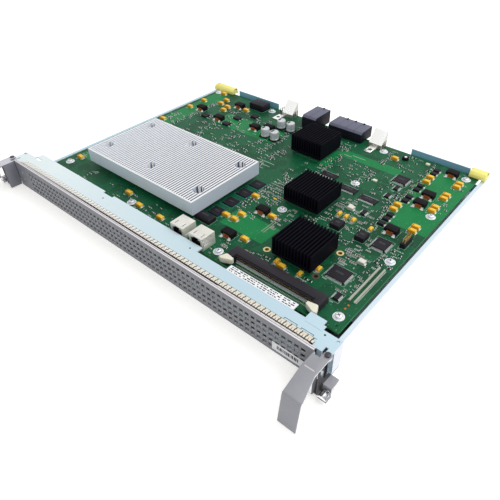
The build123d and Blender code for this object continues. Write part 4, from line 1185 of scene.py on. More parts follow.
BOARD_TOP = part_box("circuit_board")[1].z / MM
FLANGE_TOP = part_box("front_frame")[1].z / MM
OVER_BOARD = ("board_screws", "main_heatsink", "heatsink_rear", "heatsink_middle", "heatsink_front",
              "network_jack_left", "network_jack_right", "memory_socket", "socket_latch_left",
              "socket_latch_right", "backplane_connector_small", "backplane_connector_large",
              "guide_socket_left", "guide_socket_right", "electrolytic_capacitors",
              "inductor_cores", "tantalum_capacitors", "small_tantalums", "quad_chips",
              "tsop_chips", "outline_chips", "memory_chips", "power_modules", "pin_header",
              "terminator_strips", "crystal_can", "oscillator_can", "output_rectifiers",
              "relay_block", "power_transistors")


class Occupancy:
    """The places on the board that are taken."""

    def __init__(self, margin: float) -> None:
        """Take the plan of every solid that stands on the board.

        Args:
            margin: the clearance that is kept round each.
        """
        self.margin = margin
        self.boxes: list[tuple[float, float, float, float]] = []
        for node in OVER_BOARD:
            for low, high in islands(node):
                self.boxes.append((low.x, high.x, low.y, high.y))

    def free(self, x: float, y: float, half_x: float, half_y: float) -> bool:
        """Whether a rectangle lies clear of all that is taken.

        Args:
            x: its middle.
            y: its middle.
            half_x: half its width.
            half_y: half its depth.

        Returns:
            True if nothing is nearer than the margin.
        """
        reach_x = half_x + self.margin
        reach_y = half_y + self.margin
        return not any(x + reach_x > x0 and x - reach_x < x1 and y + reach_y > y0 and y - reach_y < y1
                       for x0, x1, y0, y1 in self.boxes)

    def take(self, x: float, y: float, half_x: float, half_y: float) -> None:
        """Mark a rectangle as taken."""
        self.boxes.append((x - half_x, x + half_x, y - half_y, y + half_y))


class SmallKind(Enum):
    """Small soldered components: length, width, height and finish."""

    TAN_CAPACITOR = (1.5, 0.75, 0.75, BROWN_CHIP)
    BLACK_RESISTOR = (1.5, 0.75, 0.45, DARK_CHIP)
    LARGE_CAPACITOR = (1.9, 1.1, 1.0, BROWN_CHIP)
    RESISTOR_ARRAY = (2.9, 1.5, 0.6, DARK_CHIP)
    PALE_RESISTOR = (1.1, 0.6, 0.45, CERAMIC)


@dataclass(frozen=True)
class Patch:
    """A rectangle in plan that holds rows of small components."""

    x0: float
    x1: float
    y0: float
    y1: float
    share: float = 0.5
    upright: bool = False


PATCHES = tuple(Patch(*row) for row in (
    (37.0, 64.0, 124.0, 174.0, 0.50), (54.0, 66.0, 172.0, 212.0, 0.45, True),
    (100.0, 146.0, 106.0, 131.0, 0.12), (147.0, 168.0, 92.0, 141.0, 0.50, True),
    (107.0, 152.0, 133.0, 146.0, 0.40), (107.0, 156.0, 150.0, 181.0, 0.50, True),
    (140.0, 158.0, 181.0, 215.0, 0.14), (100.0, 132.0, 199.0, 236.0, 0.14),
    (54.0, 98.0, 206.0, 243.0, 0.12), (170.0, 183.0, 62.0, 112.0, 0.45, True),
    (178.0, 192.0, 112.0, 140.0, 0.45), (86.0, 150.0, 51.0, 61.0, 0.30),
    (58.0, 79.0, 33.0, 54.0, 0.35), (76.0, 100.0, 93.0, 128.0, 0.30, True),
    (36.0, 62.0, 92.0, 124.0, 0.20), (145.0, 192.0, 205.0, 288.0, 0.06),
    (96.0, 136.0, 255.0, 290.0, 0.14), (8.0, 60.0, 254.0, 274.0, 0.30),
    (-168.0, -142.0, 58.0, 205.0, 0.05), (-150.0, -24.0, 156.0, 262.0, 0.10),
    (-20.0, 10.0, 190.0, 282.0, 0.12), (-130.0, 14.0, 34.0, 52.0, 0.04),
    (84.0, 168.0, 31.5, 37.5, 0.30),
    (8.0, 56.0, 252.0, 262.0, 0.25), (-6.0, 56.0, 156.0, 212.0, 0.04),
))


@dataclass
class SmallParts:
    """The smallest components, in rows with soldered ends on bare pads."""

    patches: tuple[Patch, ...] = PATCHES
    gap: float = 0.7
    end: float = 0.26
    pad: float = 0.24
    skin: float = 0.04
    run_per_share: float = 12.0
    margin: float = 0.45
    pad_past: float = 0.1
    skip: tuple[float, float] = (3.0, 9.0)
    pause: tuple[float, float] = (1.0, 4.0)

    def __post_init__(self) -> None:
        """Start with nothing laid, and with the places of the larger parts taken."""
        self.draw = random.Random(SEED)
        self.taken = Occupancy(self.margin)
        self.bodies: dict[SmallKind, list[Spot]] = {kind: [] for kind in SmallKind}
        self.ends: list[Spot] = []
        self.pads: list[Spot] = []

    def build(self) -> None:
        """Fill the patches in order and bake one mesh for each kind."""
        for patch in self.patches:
            self.fill(patch)
        for kind, spots in self.bodies.items():
            spread(f"{kind.name.lower()}s", spots, kind.value[3])
        spread("soldered_ends", self.ends, TIN)
        spread("solder_pads", self.pads, TIN)

    def fill(self, patch: Patch) -> None:
        """Lay rows of components in one patch.

        Args:
            patch: the rectangle.
        """
        longest_run = max(2, round(patch.share * self.run_per_share))
        y = patch.y0
        while y < patch.y1:
            kind = self.draw.choice(list(SmallKind))
            length, width, _, _ = kind.value
            half_x, half_y = (width / 2, length / 2) if patch.upright else (length / 2, width / 2)
            x = patch.x0
            while x < patch.x1:
                if self.draw.random() > patch.share:
                    x += self.draw.uniform(*self.skip)
                for _ in range(self.draw.randint(1, longest_run)):
                    if x < patch.x1 and self.taken.free(x, y, half_x + self.pad, half_y + self.pad):
                        self.place(x, y, kind, patch.upright)
                        self.taken.take(x, y, half_x, half_y)
                    x += 2 * half_x + self.gap + 2 * self.pad * (not patch.upright)
                x += self.draw.uniform(*self.pause) / patch.share
            y += 2 * half_y + self.gap + 2 * self.pad * patch.upright

    def place(self, x: float, y: float, kind: SmallKind, upright: bool) -> None:
        """Add one component's body, ends and pads.

        Args:
            x: its middle.
            y: its middle.
            kind: what it is.
            upright: whether its length lies along Y.
        """
        length, width, height, _ = kind.value
        turn = math.pi / 2 if upright else 0.0
        middle = BOARD_TOP + height / 2
        low = BOARD_TOP + self.skin / 2
        self.bodies[kind].append(Spot((x, y, middle), (length - 2 * self.end, width, height), turn))
        for side in (-1, 1):
            off = side * (length - self.end) / 2
            spot = (x, y + off, middle) if upright else (x + off, y, middle)
            self.ends.append(Spot(spot, (self.end, width + self.skin, height + self.skin), turn))
            off = side * (length + self.pad) / 2
            spot = (x, y + off, low) if upright else (x + off, y, low)
            self.pads.append(Spot(spot, (self.pad, width + self.pad_past, self.skin), turn))


@dataclass
class BoardMarks:
    """Screw pads, ringed holes, printed lines and loose marks on the board."""

    pad_r: float = 4.6
    ring_r: float = 3.3
    ring_hole_r: float = 2.0
    ring_proud: float = 0.12
    ring_wall: float = 0.08
    skin: float = 0.06
    line: float = 0.22
    rings: tuple[tuple[float, float], ...] = ((98.3, 67.7), (149.2, 103.2))
    dull_ring: tuple[float, float] = (149.4, 67.2)

    def build(self) -> None:
        """Add the marks."""
        self.build_pads()
        self.build_rings()
        self.build_print()
        self.build_columns()
        self.build_loose()

    def build_pads(self) -> None:
        """Bare round pads under the board's screws."""
        template = disc("screw_pad", self.pad_r, self.skin, 28)
        spread("screw_pads", standing("board_screws", BOARD_TOP), PALE_PAD, template=template)

    def build_rings(self) -> None:
        """Plated rings that line the tooling holes."""
        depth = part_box("circuit_board")[0].z / MM - BOARD_TOP
        inner = self.ring_hole_r - self.ring_proud
        wall = inner + self.ring_wall
        outline = [(inner, depth), (inner, self.skin), (self.ring_r, self.skin), (self.ring_r, 0.0),
                   (wall, 0.0), (wall, depth)]
        ring = turned_profile("plated_ring", outline, 28, True)
        spread("gold_rings", [Spot((x, y, BOARD_TOP)) for x, y in self.rings], GOLD, template=ring)
        spread("dull_ring", [Spot((*self.dull_ring, BOARD_TOP))], BROWN_CHIP, template=ring)

    def build_print(self) -> None:
        """Printed outlines round the larger parts, and plain dashes beside them."""
        z = BOARD_TOP + PRINT_THICK / 2
        spots: list[Spot] = []
        margins = {"tantalum_capacitors": 0.8, "small_tantalums": 0.7, "inductor_cores": 1.0,
                   "quad_chips": 2.0, "outline_chips": 1.8, "power_modules": 0.8,
                   "output_rectifiers": 1.0, "relay_block": 0.8, "pin_header": 0.8}
        draw = random.Random(SEED + 2)
        for node, margin in margins.items():
            for low, high in islands(node):
                spots += plan_frame(low.x - margin, high.x + margin, low.y - margin, high.y + margin,
                                    self.line, z)
                for index in range(draw.randint(2, 4)):
                    place = (low.x + index * 1.1, low.y - margin - 1.3, z)
                    spots.append(Spot(place, (0.7, 1.1, PRINT_THICK)))
        spread("printed_outlines", spots, SILK)
        rows = ((3.0, 180.5, 24.0), (4.5, 174.0, 19.0), (5.5, 167.5, 9.0), (78.0, 251.0, 16.0),
                (66.0, 247.5, 9.0), (161.0, 217.0, 9.0), (163.0, 160.0, 7.0), (-150.0, 230.0, 12.0))
        spots = [Spot((x, y, z), (length, 0.7, PRINT_THICK)) for x, y, length in rows]
        spread("printed_dashes", spots, SILK)

    def build_columns(self) -> None:
        """Columns of bare and brown pads, and teal fields under the memory chips."""
        bare = [pad(x, y, 1.1, 0.5) for x in (78.6, 81.0) for y in steps(84.0, 109.0, 1.0)]
        bare += [pad(x, 35.9, 0.5, 1.4) for x in steps(92.0, 162.0, 1.25)]
        spread("bare_pads", bare, CERAMIC)
        low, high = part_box("terminator_strips")
        pads = [pad(x, y, 0.7, 0.45) for x in (low.x / MM - 0.5, high.x / MM + 0.5)
                for y in steps(low.y / MM + 1.0, high.y / MM - 1.0, 1.0)]
        spread("strip_pads", pads, TIN)
        margin = 1.5
        fields = [Spot(((a.x + b.x) / 2, (a.y + b.y) / 2, BOARD_TOP + 0.03),
                       (b.x - a.x + 2 * margin, b.y - a.y + 2 * margin, PRINT_THICK))
                  for a, b in islands("memory_chips")]
        spread("memory_fields", fields, TEAL)

    def build_loose(self) -> None:
        """Single marks: two orange dots, a yellow spot, a few pale blocks and a round coil."""
        dot = turned_profile("dot", [(0.0, 0.0), (0.9, 0.0), (0.9, 0.5), (0.6, 0.8), (0.0, 0.8)], 12)
        spots = [Spot((186.5, 52.0, BOARD_TOP)), Spot((186.6, 56.4, BOARD_TOP))]
        spread("orange_dots", spots, ORANGE, template=dot)
        spread("yellow_spot", [Spot((56.4, 130.8, BOARD_TOP), (2.2, 1.4, 1.0))], TANTALUM,
               template=dot)
        tall = 1.4
        blocks = [(142.6, 284.5, 4.2, 3.0), (114.9, 220.8, 4.4, 3.2), (119.7, 167.6, 4.0, 2.6)]
        spots = [Spot((x, y, BOARD_TOP + tall / 2), (dx, dy, tall)) for x, y, dx, dy in blocks]
        spread("pale_blocks", spots, IVORY)
        coil_x, coil_y, coil_top = 118.6, 280.0, 3.0
        button = turned_profile("button", [(0.0, 0.0), (3.6, 0.0), (3.6, 2.4), (3.1, coil_top),
                                           (0.0, coil_top)], 24)
        spread("round_coil", [Spot((coil_x, coil_y, BOARD_TOP))], FERRITE, template=button)
        cap = turned_profile("cap", [(0.0, 0.0), (1.5, 0.0), (1.5, 0.25), (0.0, 0.35)], 18)
        spread("round_coil_cap", [Spot((coil_x, coil_y, BOARD_TOP + coil_top))], PAPER, template=cap)


@dataclass
class Screws:
    """Washered screw heads with a cross recess, on the board and in the heatsink."""

    slot: float = 0.75
    slot_reach: float = 1.9
    slot_depth: float = 0.9
    head_turn: float = 0.5

    def build(self) -> None:
        """Make both kinds of screw and put them on their seats."""
        self.build_kind("board_screws", 3.8, 2.9, 2.3, BOARD_TOP)
        height = 2.2
        self.build_kind("heatsink_screws", 3.4, 2.6, height, islands("heatsink_screws")[0][1].z - height)

    def build_kind(self, node: str, seat: float, head: float, height: float, z: float) -> None:
        """Replace one node's screws by detailed ones.

        Args:
            node: the CAD node.
            seat: the washer's radius.
            head: the head's radius.
            height: the head's top above its seat.
            z: the seat's height.
        """
        template = self.template(f"{node}_head", seat, head, height)
        places = list(enumerate(centres(node)))
        heads = [Spot((place.x, place.y, z), turn=self.head_turn * index) for index, place in places]
        spread(f"{node}_finished", heads, BRIGHT_ZINC, NODE_BODY[node], template, node)
        # Dark crosses on the recess floors: painted shade in the cross recesses.
        shade = [Spot((place.x, place.y, z + height - self.slot_depth + 0.05),
                      (2 * self.slot_reach - 0.3, self.slot - 0.15, 0.1),
                      self.head_turn * index + extra)
                 for index, place in places for extra in (0.0, math.pi / 2)]
        spread(f"{node}_recess_floor", shade, INK_AND_SHADE, NODE_BODY[node])

    def template(self, name: str, seat: float, head: float, height: float) -> bpy.types.Object:
        """One head, cut with a cross recess.

        Args:
            name: the template's name.
            seat: the washer's radius.
            head: the head's radius.
            height: the head's top above its seat.

        Returns:
            The template, taken out of the scene again.
        """
        washer = 0.55
        outline = [(0.0, 0.0), (seat, 0.0), (seat, washer - 0.12), (seat - 0.12, washer),
                   (head, washer), (head, height - 0.75), (0.86 * head, height - 0.25),
                   (0.6 * head, height), (0.0, height)]
        blank = turned_profile(name, outline, 24)
        cutters = []
        reach = 2 * self.slot_reach
        for index, (along, across) in enumerate(((reach, self.slot), (self.slot, reach))):
            floor, over = height - self.slot_depth, height + 1.0
            outline = [(-along / 2, floor), (along / 2, floor), (along / 2, over), (-along / 2, over)]
            cutters.append(linked(template_prism(f"{name}_slot_{index}", outline, across)))
        carved(linked(blank), cutters)
        bpy.context.scene.collection.objects.unlink(blank)
        return blank


@dataclass(frozen=True)
class LeadRow:
    """How the packages of one node carry their bent leads."""

    node: str
    pitch: float
    width: float
    rise: float
    reach: float
    on_x: bool
    on_y: bool


@dataclass
class Packages:
    """Leads, terminals, solder and top marks of the packages on the board."""

    rows: tuple[LeadRow, ...] = (
        LeadRow("quad_chips", 0.8, 0.36, 0.9, 1.5, True, True),
        LeadRow("tsop_chips", 0.9, 0.42, 0.5, 1.6, False, True),
        LeadRow("outline_chips", 1.27, 0.7, 0.8, 1.5, True, False),
    )
    corner: float = 1.2
    terminals: tuple[tuple[str, float, float, float], ...] = (
        ("tantalum_capacitors", 0.45, 0.62, 1.3), ("small_tantalums", 0.4, 0.6, 1.1),
        ("output_rectifiers", 0.8, 0.45, 0.7), ("crystal_can", 0.3, 0.5, 0.6),
        ("oscillator_can", 0.3, 0.5, 0.6),
    )

    def build(self) -> None:
        """Dress every package."""
        for row in self.rows:
            self.build_leads(row)
        for terminal in self.terminals:
            self.build_terminals(*terminal)
        self.build_bands()
        self.build_tabs()
        self.build_dots()

    def build_leads(self, row: LeadRow) -> None:
        """Bent leads along the sides of one node's packages.

        Args:
            row: their pitch, form and sides.
        """
        sheet = 0.15
        bend = 0.4 * row.reach
        lead = template_prism(f"{row.node}_lead", [
            (-0.2, row.rise), (0.5 * bend, row.rise), (bend, 0.0), (row.reach, 0.0),
            (row.reach, sheet), (bend + 0.1, sheet), (0.5 * bend + 0.1, row.rise + sheet),
            (-0.2, row.rise + sheet)], row.width)
        spots = []
        z = BOARD_TOP + 0.02
        for low, high in islands(row.node):
            if row.on_x:
                for y in steps(low.y + self.corner, high.y - self.corner, row.pitch):
                    spots.append(Spot((high.x, y, z)))
                    spots.append(Spot((low.x, y, z), turn=math.pi))
            if row.on_y:
                for x in steps(low.x + self.corner, high.x - self.corner, row.pitch):
                    spots.append(Spot((x, high.y, z), turn=math.pi / 2))
                    spots.append(Spot((x, low.y, z), turn=-math.pi / 2))
        spread(f"{row.node}_leads", spots, TIN, template=lead)

    def build_terminals(self, node: str, proud: float, share: float, height: float) -> None:
        """Plated ends of the two-legged parts of one node, along their longer side.

        Args:
            node: the CAD node.
            proud: how far each end stands out.
            share: its share of the part's width.
            height: its height.
        """
        spots = []
        pad_past_end, pad_past_side = 1.0, 0.6
        for low, high in islands(node):
            shorter, longer = sorted((high - low).xy)
            wide = share * shorter
            for off in (-longer / 2, longer / 2):
                spots.append(lengthwise(low, high, off, BOARD_TOP + height / 2,
                                        (2 * proud, wide, height)))
                spots.append(lengthwise(low, high, off, BOARD_TOP + PAD_THICK / 2,
                                        (2 * proud + pad_past_end, wide + pad_past_side, PAD_THICK)))
        spread(f"{node}_terminals", spots, TIN)

    def build_bands(self) -> None:
        """A darker band on the marked end of each yellow capacitor."""
        spots = []
        for node in ("tantalum_capacitors", "small_tantalums"):
            for low, high in islands(node):
                shorter, longer = sorted((high - low).xy)
                off = -0.5 * longer + 0.5 + 0.11 * longer
                spots.append(lengthwise(low, high, off, high.z + 0.01,
                                        (0.16 * longer, shorter - 1.1, 0.04)))
        spread("capacitor_bands", spots, AMBER)

    def build_tabs(self) -> None:
        """Broad soldered tabs and legs of the power transistors."""
        spots = []
        tab, leg = 0.7, 0.6
        for low, high in islands("power_transistors"):
            middle = (low + high) / 2
            size = high - low
            spots.append(Spot((low.x - 0.9, middle.y, BOARD_TOP + tab / 2), (2.0, 0.8 * size.y, tab)))
            for off in (-0.32, 0.32):
                spots.append(Spot((high.x + 1.0, middle.y + off * size.y, BOARD_TOP + leg / 2),
                                  (2.2, 0.9, leg)))
        spread("transistor_tabs", spots, TIN)

    def build_dots(self) -> None:
        """A shallow dot by the first leg of each chip, and faint generic lines on its top."""
        dot = disc("index_dot", 0.5, 0.03, 14)
        dots = []
        lines = []
        for node in ("quad_chips", "tsop_chips", "memory_chips", "power_modules"):
            for low, high in islands(node):
                dots.append(Spot((low.x + 1.7, low.y + 1.7, high.z)))
                size = high - low
                for row in range(2):
                    lines.append(Spot(((low.x + high.x) / 2, (low.y + high.y) / 2 + row * 1.2,
                                       high.z + 0.01), (0.45 * size.x, 0.4, 0.02)))
        spread("index_dots", dots, FAINT, template=dot)
        spread("chip_lines", lines, FAINT)


@dataclass
class PowerParts:
    """Windings and solder of the inductors, and the round cans."""

    winding_layers: int = 4
    can_r: float = 5.0
    foot: float = 10.4

    def build(self) -> None:
        """Dress the inductors and make the cans."""
        softened("inductor_cores", 0.45)
        self.build_windings()
        self.build_solder()
        self.build_cans()

    def build_windings(self) -> None:
        """Flat copper layers seen in each core's arch."""
        spots = []
        for low, high in islands("inductor_coils"):
            size = high - low
            pitch = size.z / self.winding_layers
            for layer in range(self.winding_layers):
                z = low.z + (layer + 0.5) * pitch
                spots.append(Spot(((low.x + high.x) / 2, (low.y + high.y) / 2, z),
                                  (size.x, size.y, 0.72 * pitch)))
            spots.append(Spot(((low.x + high.x) / 2, high.y - 0.7, (low.z + high.z) / 2),
                              (size.x - 0.4, 1.2, size.z - 0.2)))
        spread("copper_layers", spots, COPPER, node="inductor_coils")

    def build_solder(self) -> None:
        """A pad and a solder fillet at each side of an arch."""
        fillet = template_prism("solder_fillet", [(0.0, 0.0), (1.5, 0.0), (0.5, 0.5), (0.0, 1.9)], 2.3)
        pads = []
        fillets = []
        for low, high in islands("inductor_cores"):
            middle = (low.x + high.x) / 2
            for side in (-1, 1):
                x = middle + side * 4.4
                fillets.append(Spot((x, low.y, BOARD_TOP + 0.02), turn=-math.pi / 2))
                pads.append(pad(x, low.y - 0.9, 3.0, 2.6))
        spread("inductor_fillets", fillets, TIN, template=fillet)
        spread("inductor_pads", pads, TIN)

    def build_cans(self) -> None:
        """Crimped cans on black feet."""
        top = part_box("electrolytic_capacitors")[1].z / MM - BOARD_TOP
        can = turned_profile("crimped_can", [
            (0.0, 1.3), (self.can_r, 1.3), (self.can_r, 2.6), (self.can_r - 0.45, 3.1),
            (self.can_r, 3.6), (self.can_r, top - 0.6), (self.can_r - 0.2, top - 0.15),
            (self.can_r - 0.7, top), (self.can_r - 1.1, top - 0.12), (0.0, top - 0.12)], 36)
        half = self.foot / 2
        foot = template_prism("can_foot", [(-half, 0.0), (half, 0.0), (half, 1.4), (-half, 1.4)],
                              self.foot)
        node = "electrolytic_capacitors"
        spread("crimped_cans", standing(node, BOARD_TOP), CAN, template=can, node=node)
        spread("can_feet", standing(node, BOARD_TOP), PLUG_BLACK, template=foot)
        marks = [Spot((place.x - 2.6, place.y, BOARD_TOP + top - 0.08), (2.2, 5.4, 0.08))
                 for place in centres(node)]
        spread("can_marks", marks, INK_AND_SHADE)


@dataclass
class Connectors:
    """Jacks, memory socket and backplane connectors, with their contacts."""

    mouth_w: float = 11.8
    mouth_h: float = 8.4
    mouth_lift: float = 1.6
    liner: float = 0.12
    contact_pitch: float = 1.02
    top_slot_off: float = 4.5
    top_slot_y: float = 4.7
    socket_pitch: float = 0.8
    pin_pitch: float = 2.0
    pin: Point = (0.5, 6.8, 0.5)
    pin_back: float = 7.6
    wall: float = 1.8
    half_web: float = 0.8
    guide_slots: int = 3
    guide_first: float = 2.4
    guide_pitch: float = 3.3
    shrouds: tuple[tuple[str, int], ...] = (("backplane_connector_small", 2),
                                            ("backplane_connector_large", 4))

    def build(self) -> None:
        """Dress the connectors."""
        for side in ("left", "right"):
            softened(f"network_jack_{side}", 0.22)
            softened(f"socket_latch_{side}", 0.35)
            softened(f"guide_socket_{side}", 0.5)
            softened(f"corner_guide_{side}", 0.5)
        softened("memory_socket", 0.2)
        softened("relay_block", 0.35)
        self.build_jack_insides()
        self.build_socket_contacts()
        self.build_backplane()

    def build_jack_insides(self) -> None:
        """A black liner and eight spring contacts in each jack."""
        black: list[Spot] = []
        gold: list[Spot] = []
        for side in ("left", "right"):
            low, high = box(f"network_jack_{side}")
            x = (low.x + high.x) / 2
            floor = BOARD_TOP + self.mouth_lift
            back = high.y - 2.5
            depth = back - low.y - 0.8
            y = back - depth / 2
            half = self.mouth_w / 2
            middle = floor + self.mouth_h / 2
            wall = self.mouth_h - 0.1
            black.append(Spot((x, y, floor + self.liner), (self.mouth_w - 0.1, depth, self.liner)))
            black.append(Spot((x, back - self.liner, middle), (self.mouth_w - 0.1, self.liner, wall)))
            for edge in (-1, 1):
                black.append(Spot((x + edge * (half - self.liner), y, middle),
                                  (self.liner, depth, wall)))
                black.append(Spot((x + edge * (half - 1.4), y, floor + self.mouth_h - self.liner),
                                  (2.6, depth, self.liner)))
                slot_x = x + edge * self.top_slot_off
                black.append(Spot((slot_x, low.y + self.top_slot_y, high.z - 0.55), (0.85, 4.9, 0.1)))
            for index in range(8):
                wire_x = x + (index - 3.5) * self.contact_pitch
                gold.append(Spot((wire_x, y + 1.0, floor + 1.4), (0.35, depth - 4.0, 0.3)))
        spread("jack_liners", black, PLUG_BLACK)
        spread("jack_contacts", gold, GOLD)

    def build_socket_contacts(self) -> None:
        """Contacts in the memory socket's slot and their soldered tails in front of it."""
        low, high = box("memory_socket")
        body_depth, cheek, slot_floor = 9.6, 8.6, 4.0
        front = high.y - body_depth
        xs = steps(low.x + cheek, high.x - cheek, self.socket_pitch)
        gold = [Spot((x, front + 1.6, high.z - slot_floor + 0.12), (0.4, 3.0, 0.25)) for x in xs]
        spread("socket_contacts", gold, GOLD)
        tails = [Spot((x, front - 0.7, BOARD_TOP + 0.1), (0.45, 1.6, 0.2)) for x in xs]
        tails += [Spot((x, front - 0.06, BOARD_TOP + 1.1), (0.45, 0.14, 2.0)) for x in xs]
        spread("socket_tails", tails, TIN)

    def build_backplane(self) -> None:
        """Pins, seams and clips of the two shrouds that open to the rear, and their slotted guides."""
        pins: list[Spot] = []
        seams: list[Spot] = []
        clips: list[Spot] = []
        slots: list[Spot] = []
        for node, parts in self.shrouds:
            low, high = box(node)
            half = (low.x + high.x) / 2
            for start, end in ((low.x + self.wall, half - self.half_web),
                               (half + self.half_web, high.x - self.wall)):
                for x in steps(start + 1.1, end - 0.9, self.pin_pitch):
                    for z in steps(low.z + 3.0, high.z - 2.8, self.pin_pitch):
                        pins.append(Spot((x, high.y - self.pin_back, z), self.pin))
            width = (high.x - low.x) / parts
            for index in range(1, parts):
                x = low.x + index * width
                seams.append(Spot((x, (low.y + high.y) / 2, high.z), (0.3, high.y - low.y - 1.0, 0.06)))
                clips.append(Spot((x + 1.5, high.y - 2.0, high.z + 0.5), (1.6, 2.4, 1.0)))
        for side in ("left", "right"):
            low, high = box(f"guide_socket_{side}")
            for index in range(self.guide_slots):
                y = high.y - self.guide_first - index * self.guide_pitch
                # the guides' slots are thin dark panels on their sides: painted shade standing in for
                # the openings
                slots += [Spot((x, y, BOARD_TOP + 4.6), (0.1, 1.5, 6.0)) for x in (low.x, high.x)]
        spread("backplane_pins", pins, GOLD)
        spread("connector_seams", seams, INK_AND_SHADE)
        spread("connector_clips", clips, PLUG_BLACK)
        spread("guide_slots", slots, INK_AND_SHADE)
        for node, _ in self.shrouds:
            softened(node, 0.4)


@dataclass
class Cooling:
    """The machined heatsink and the three black ones."""

    edge: float = 0.16
    fin_pitch: float = 3.1
    groove_w: float = 1.45
    groove_depth: float = 8.8
    pocket_r: float = 5.6
    past: float = 1.0

    def build(self) -> None:
        """Mill the large heatsink, and break the edges of the black fins."""
        self.build_milled()
        for place in ("rear", "middle", "front"):
            softened(f"heatsink_{place}", self.edge, 1)

    def build_milled(self) -> None:
        """The large heatsink: a block with even grooves along Y and a round pocket at each screw."""
        low, high = SINK_LOW, SINK_HIGH
        outline = [(low.x, low.z), (high.x, low.z), (high.x, high.z), (low.x, high.z)]
        blank = linked(template_prism("main_heatsink_finished", outline, high.y - low.y))
        blank.data.transform(Matrix.Translation((0.0, (low.y + high.y) / 2 * MM, 0.0)))
        floor = high.z - self.groove_depth
        count = int((high.x - low.x - 2 * RIM + self.fin_pitch - self.groove_w) / self.fin_pitch)
        start = (low.x + high.x - (count - 1) * self.fin_pitch) / 2
        size = (self.groove_w, high.y - low.y - 2 * RIM, self.groove_depth + self.past)
        spots = [Spot((start + index * self.fin_pitch, (low.y + high.y) / 2, floor + size[2] / 2), size)
                 for index in range(count)]
        grooves = field("groove_cutter", spots, ALUMINIUM)
        pockets = field("pocket_cutter", standing("heatsink_screws", floor), ALUMINIUM,
                        disc("pocket", self.pocket_r, size[2], 32))
        carved(blank, [grooves, pockets])
        for face in blank.data.polygons:
            face.material_index = 0
        settle(blank, NODE_BODY["main_heatsink"], ALUMINIUM, "main_heatsink")


@dataclass
class EjectorLevers:
    """Folded levers, their collars, captive screws and pins."""

    fold: float = 0.42
    highlight_place: tuple[float, float] = (200.0, -13.0)
    highlight_size: Point = (7.8, 0.8, 0.06)

    def build(self) -> None:
        """Round the folded edges of the levers and the screws, and lay a painted highlight along each
        lever's fold.
        """
        for side in ("right", "left"):
            softened(f"ejector_lever_{side}", self.fold)
            softened(f"screw_collar_{side}", 0.12)
            softened(f"captive_screw_{side}", 0.14)
        softened("pivot_pins", 0.2)
        x, y = self.highlight_place
        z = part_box("ejector_lever_right")[1].z / MM + 0.02
        # a thin pale strip on each lever's fold: painted highlight
        spread("lever_fold_line", [Spot((x, y, z), self.highlight_size)], FOLD_HIGHLIGHT, Body.LEVER_RIGHT.value)
        spread("lever_fold_line_left", [Spot((-x, y, z), self.highlight_size)], FOLD_HIGHLIGHT,
               Body.LEVER_LEFT.value)


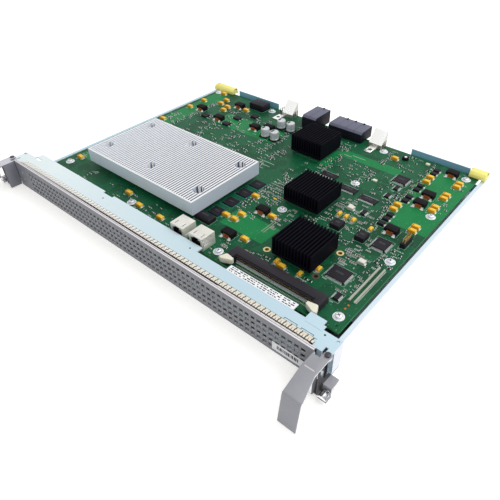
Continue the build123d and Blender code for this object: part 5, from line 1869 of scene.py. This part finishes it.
@dataclass
class FrontPanel:
    """Faceplate, front frame, shielding strip and their two labels."""

    label_x: tuple[float, float] = (159.0, 187.5)
    label_z: tuple[float, float] = (2.8, 11.0)
    flange_label_x: tuple[float, float] = (94.4, 161.2)
    flange_label_y: tuple[float, float] = (21.4, 28.0)
    sheet: float = 0.12
    finger_w: float = 4.15
    finger_pitch: float = 4.75
    tail: float = 2.3
    slit: float = 0.85
    curl_highlights_from: float = 100.0
    curl_out: float = 0.85
    tail_height: float = 0.2
    slit_height: float = 0.22
    rail: float = 0.3
    shadow_band_y: float = 2.0
    shadow_band_height: float = 0.4

    def build(self) -> None:
        """Dress the sheet metal and add the labels."""
        self.build_face_label()
        self.build_flange_label()
        self.build_strip_front()
        self.build_flange_marks()

    def build_face_label(self) -> None:
        """The white label at the grille's right end, with plain bars."""
        x0, x1 = self.label_x
        z0, z1 = self.label_z
        middle = (z0 + z1) / 2
        spot = Spot(((x0 + x1) / 2, -self.sheet / 2, middle), (x1 - x0, self.sheet, z1 - z0))
        spread("face_label", [spot], PAPER)
        draw = random.Random(SEED)
        bars = []
        x = x0 + 4.5
        while x < x1 - 5.0:
            width = draw.choice((0.45, 0.7, 1.1))
            bars.append(Spot((x + width / 2, -self.sheet - 0.02, middle + 0.4), (width, 0.04, 3.6)))
            x += width + draw.choice((0.3, 0.45, 0.6))
        spread("face_label_bars", bars, INK_AND_SHADE)

    def build_flange_label(self) -> None:
        """The long white label on the frame's top flange, with plain bars."""
        x0, x1 = self.flange_label_x
        y0, y1 = self.flange_label_y
        spot = Spot(((x0 + x1) / 2, (y0 + y1) / 2, FLANGE_TOP + self.sheet / 2),
                    (x1 - x0, y1 - y0, self.sheet))
        spread("flange_label", [spot], PAPER)
        draw = random.Random(SEED + 1)
        bars = []
        z = FLANGE_TOP + self.sheet + 0.02
        for row in range(3):
            y = y0 + 1.4 + row * 2.0
            x = x0 + 2.0
            while x < x1 - 4.0:
                length = draw.uniform(0.8, 3.4)
                bars.append(Spot((x + length / 2, y, z), (length, 0.9, 0.04)))
                x += length + draw.choice((0.6, 0.8, 2.4))
        spread("flange_label_bars", bars, INK_AND_SHADE)

    def build_strip_front(self) -> None:
        """The fingers' tails; painted shade in the slits, behind the tails and in a band in front of the
        strip; and the fingers' curled fronts toward the right end, coloured as a painted highlight.
        """
        curl = template_prism("finger_curl", [(0.0, 0.0), (0.75, 0.0), (0.75, 0.95), (0.45, 0.95),
                                              (0.0, 0.55)], self.finger_w)
        low, high = box("shielding_strip")
        count = int((high.x - low.x) / self.finger_pitch)
        start = (low.x + high.x) / 2 - (count - 1) / 2 * self.finger_pitch
        xs = [start + index * self.finger_pitch for index in range(count)]
        # curled fronts only toward the right end, as a painted highlight
        curl_highlights = [Spot((x, low.y - self.curl_out, FLANGE_TOP), turn=math.pi / 2) for x in xs
                 if x > self.curl_highlights_from]
        spread("strip_curls", curl_highlights, CURL_HIGHLIGHT, template=curl)
        tails = [Spot((x, high.y + self.tail / 2, FLANGE_TOP + self.tail_height / 2),
                      (self.finger_w, self.tail, self.tail_height)) for x in xs]
        spread("strip_tails", tails, TAIL)
        # dark boxes in the slits between fingers and a thin line behind the tails: painted shade
        slits = [Spot((x + self.finger_pitch / 2, (low.y + high.y) / 2, (FLANGE_TOP + high.z) / 2),
                      (self.slit, high.y - low.y, high.z - FLANGE_TOP + 0.06)) for x in xs]
        slits += [Spot((x + self.finger_pitch / 2, high.y + self.tail / 2,
                        FLANGE_TOP + self.slit_height / 2),
                       (self.slit, self.tail, self.slit_height)) for x in xs]
        slits.append(Spot(((low.x + high.x) / 2, high.y + self.tail + self.rail / 2,
                           FLANGE_TOP + PAD_THICK / 2), (high.x - low.x, self.rail, PAD_THICK)))
        spread("strip_slits", slits, SHADE)
        # a flat sheet in front of the fingers: painted shadow
        band = [Spot(((low.x + high.x) / 2, (self.shadow_band_y + low.y) / 2,
                      FLANGE_TOP + self.shadow_band_height / 2),
                     (high.x - low.x, low.y - self.shadow_band_y, self.shadow_band_height))]
        spread("strip_band", band, SHADOW_BAND)

    def build_flange_marks(self) -> None:
        """Painted shade on the frame's top flange: dark lines in its slits and round its stamped
        outlines, and dark discs in its small holes.
        """
        z = FLANGE_TOP + 0.03
        spots = plan_frame(160.8, 172.0, 8.2, 12.0, 0.4, z)
        spots += plan_frame(175.8, 186.0, 8.2, 11.8, 0.4, z)
        spots += [Spot((30.0, 9.4, z), (24.0, 0.5, 0.05)), Spot((132.8, 9.2, z), (9.5, 0.4, 0.05))]
        spread("flange_slits", spots, INK_AND_SHADE)
        hole = disc("small_hole", 0.8, 0.05, 14)
        places = ((53.2, 21.5), (-64.9, 19.6), (191.9, 16.8), (-204.4, 17.5))
        spread("flange_holes", [Spot((x, y, FLANGE_TOP)) for x, y in places], INK_AND_SHADE, template=hole)
        step = [Spot((181.2, 21.0, FLANGE_TOP + 0.1), (15.0, 5.2, 0.2))]
        spread("flange_step", step, FRAME_PLATE)


def main() -> None:
    """Build the stage and every sub-assembly, and report the pieces."""
    logging.basicConfig(level=logging.INFO, format="%(name)s %(message)s")
    scene = bpy.context.scene
    scene.view_settings.view_transform = "Standard"
    PhotoCamera().build()
    Studio().build()
    for node, finish in NODE_FINISHES.items():
        data = frame["nodes"][node].data
        data.materials.clear()
        data.materials.append(finish.build())
    for assembly in (FrontPanel(), Cooling(), Screws(), Connectors(), Packages(), PowerParts(),
                     BoardMarks(), SmallParts(), EjectorLevers()):
        assembly.build()


if __name__ == "__main__":
    main()
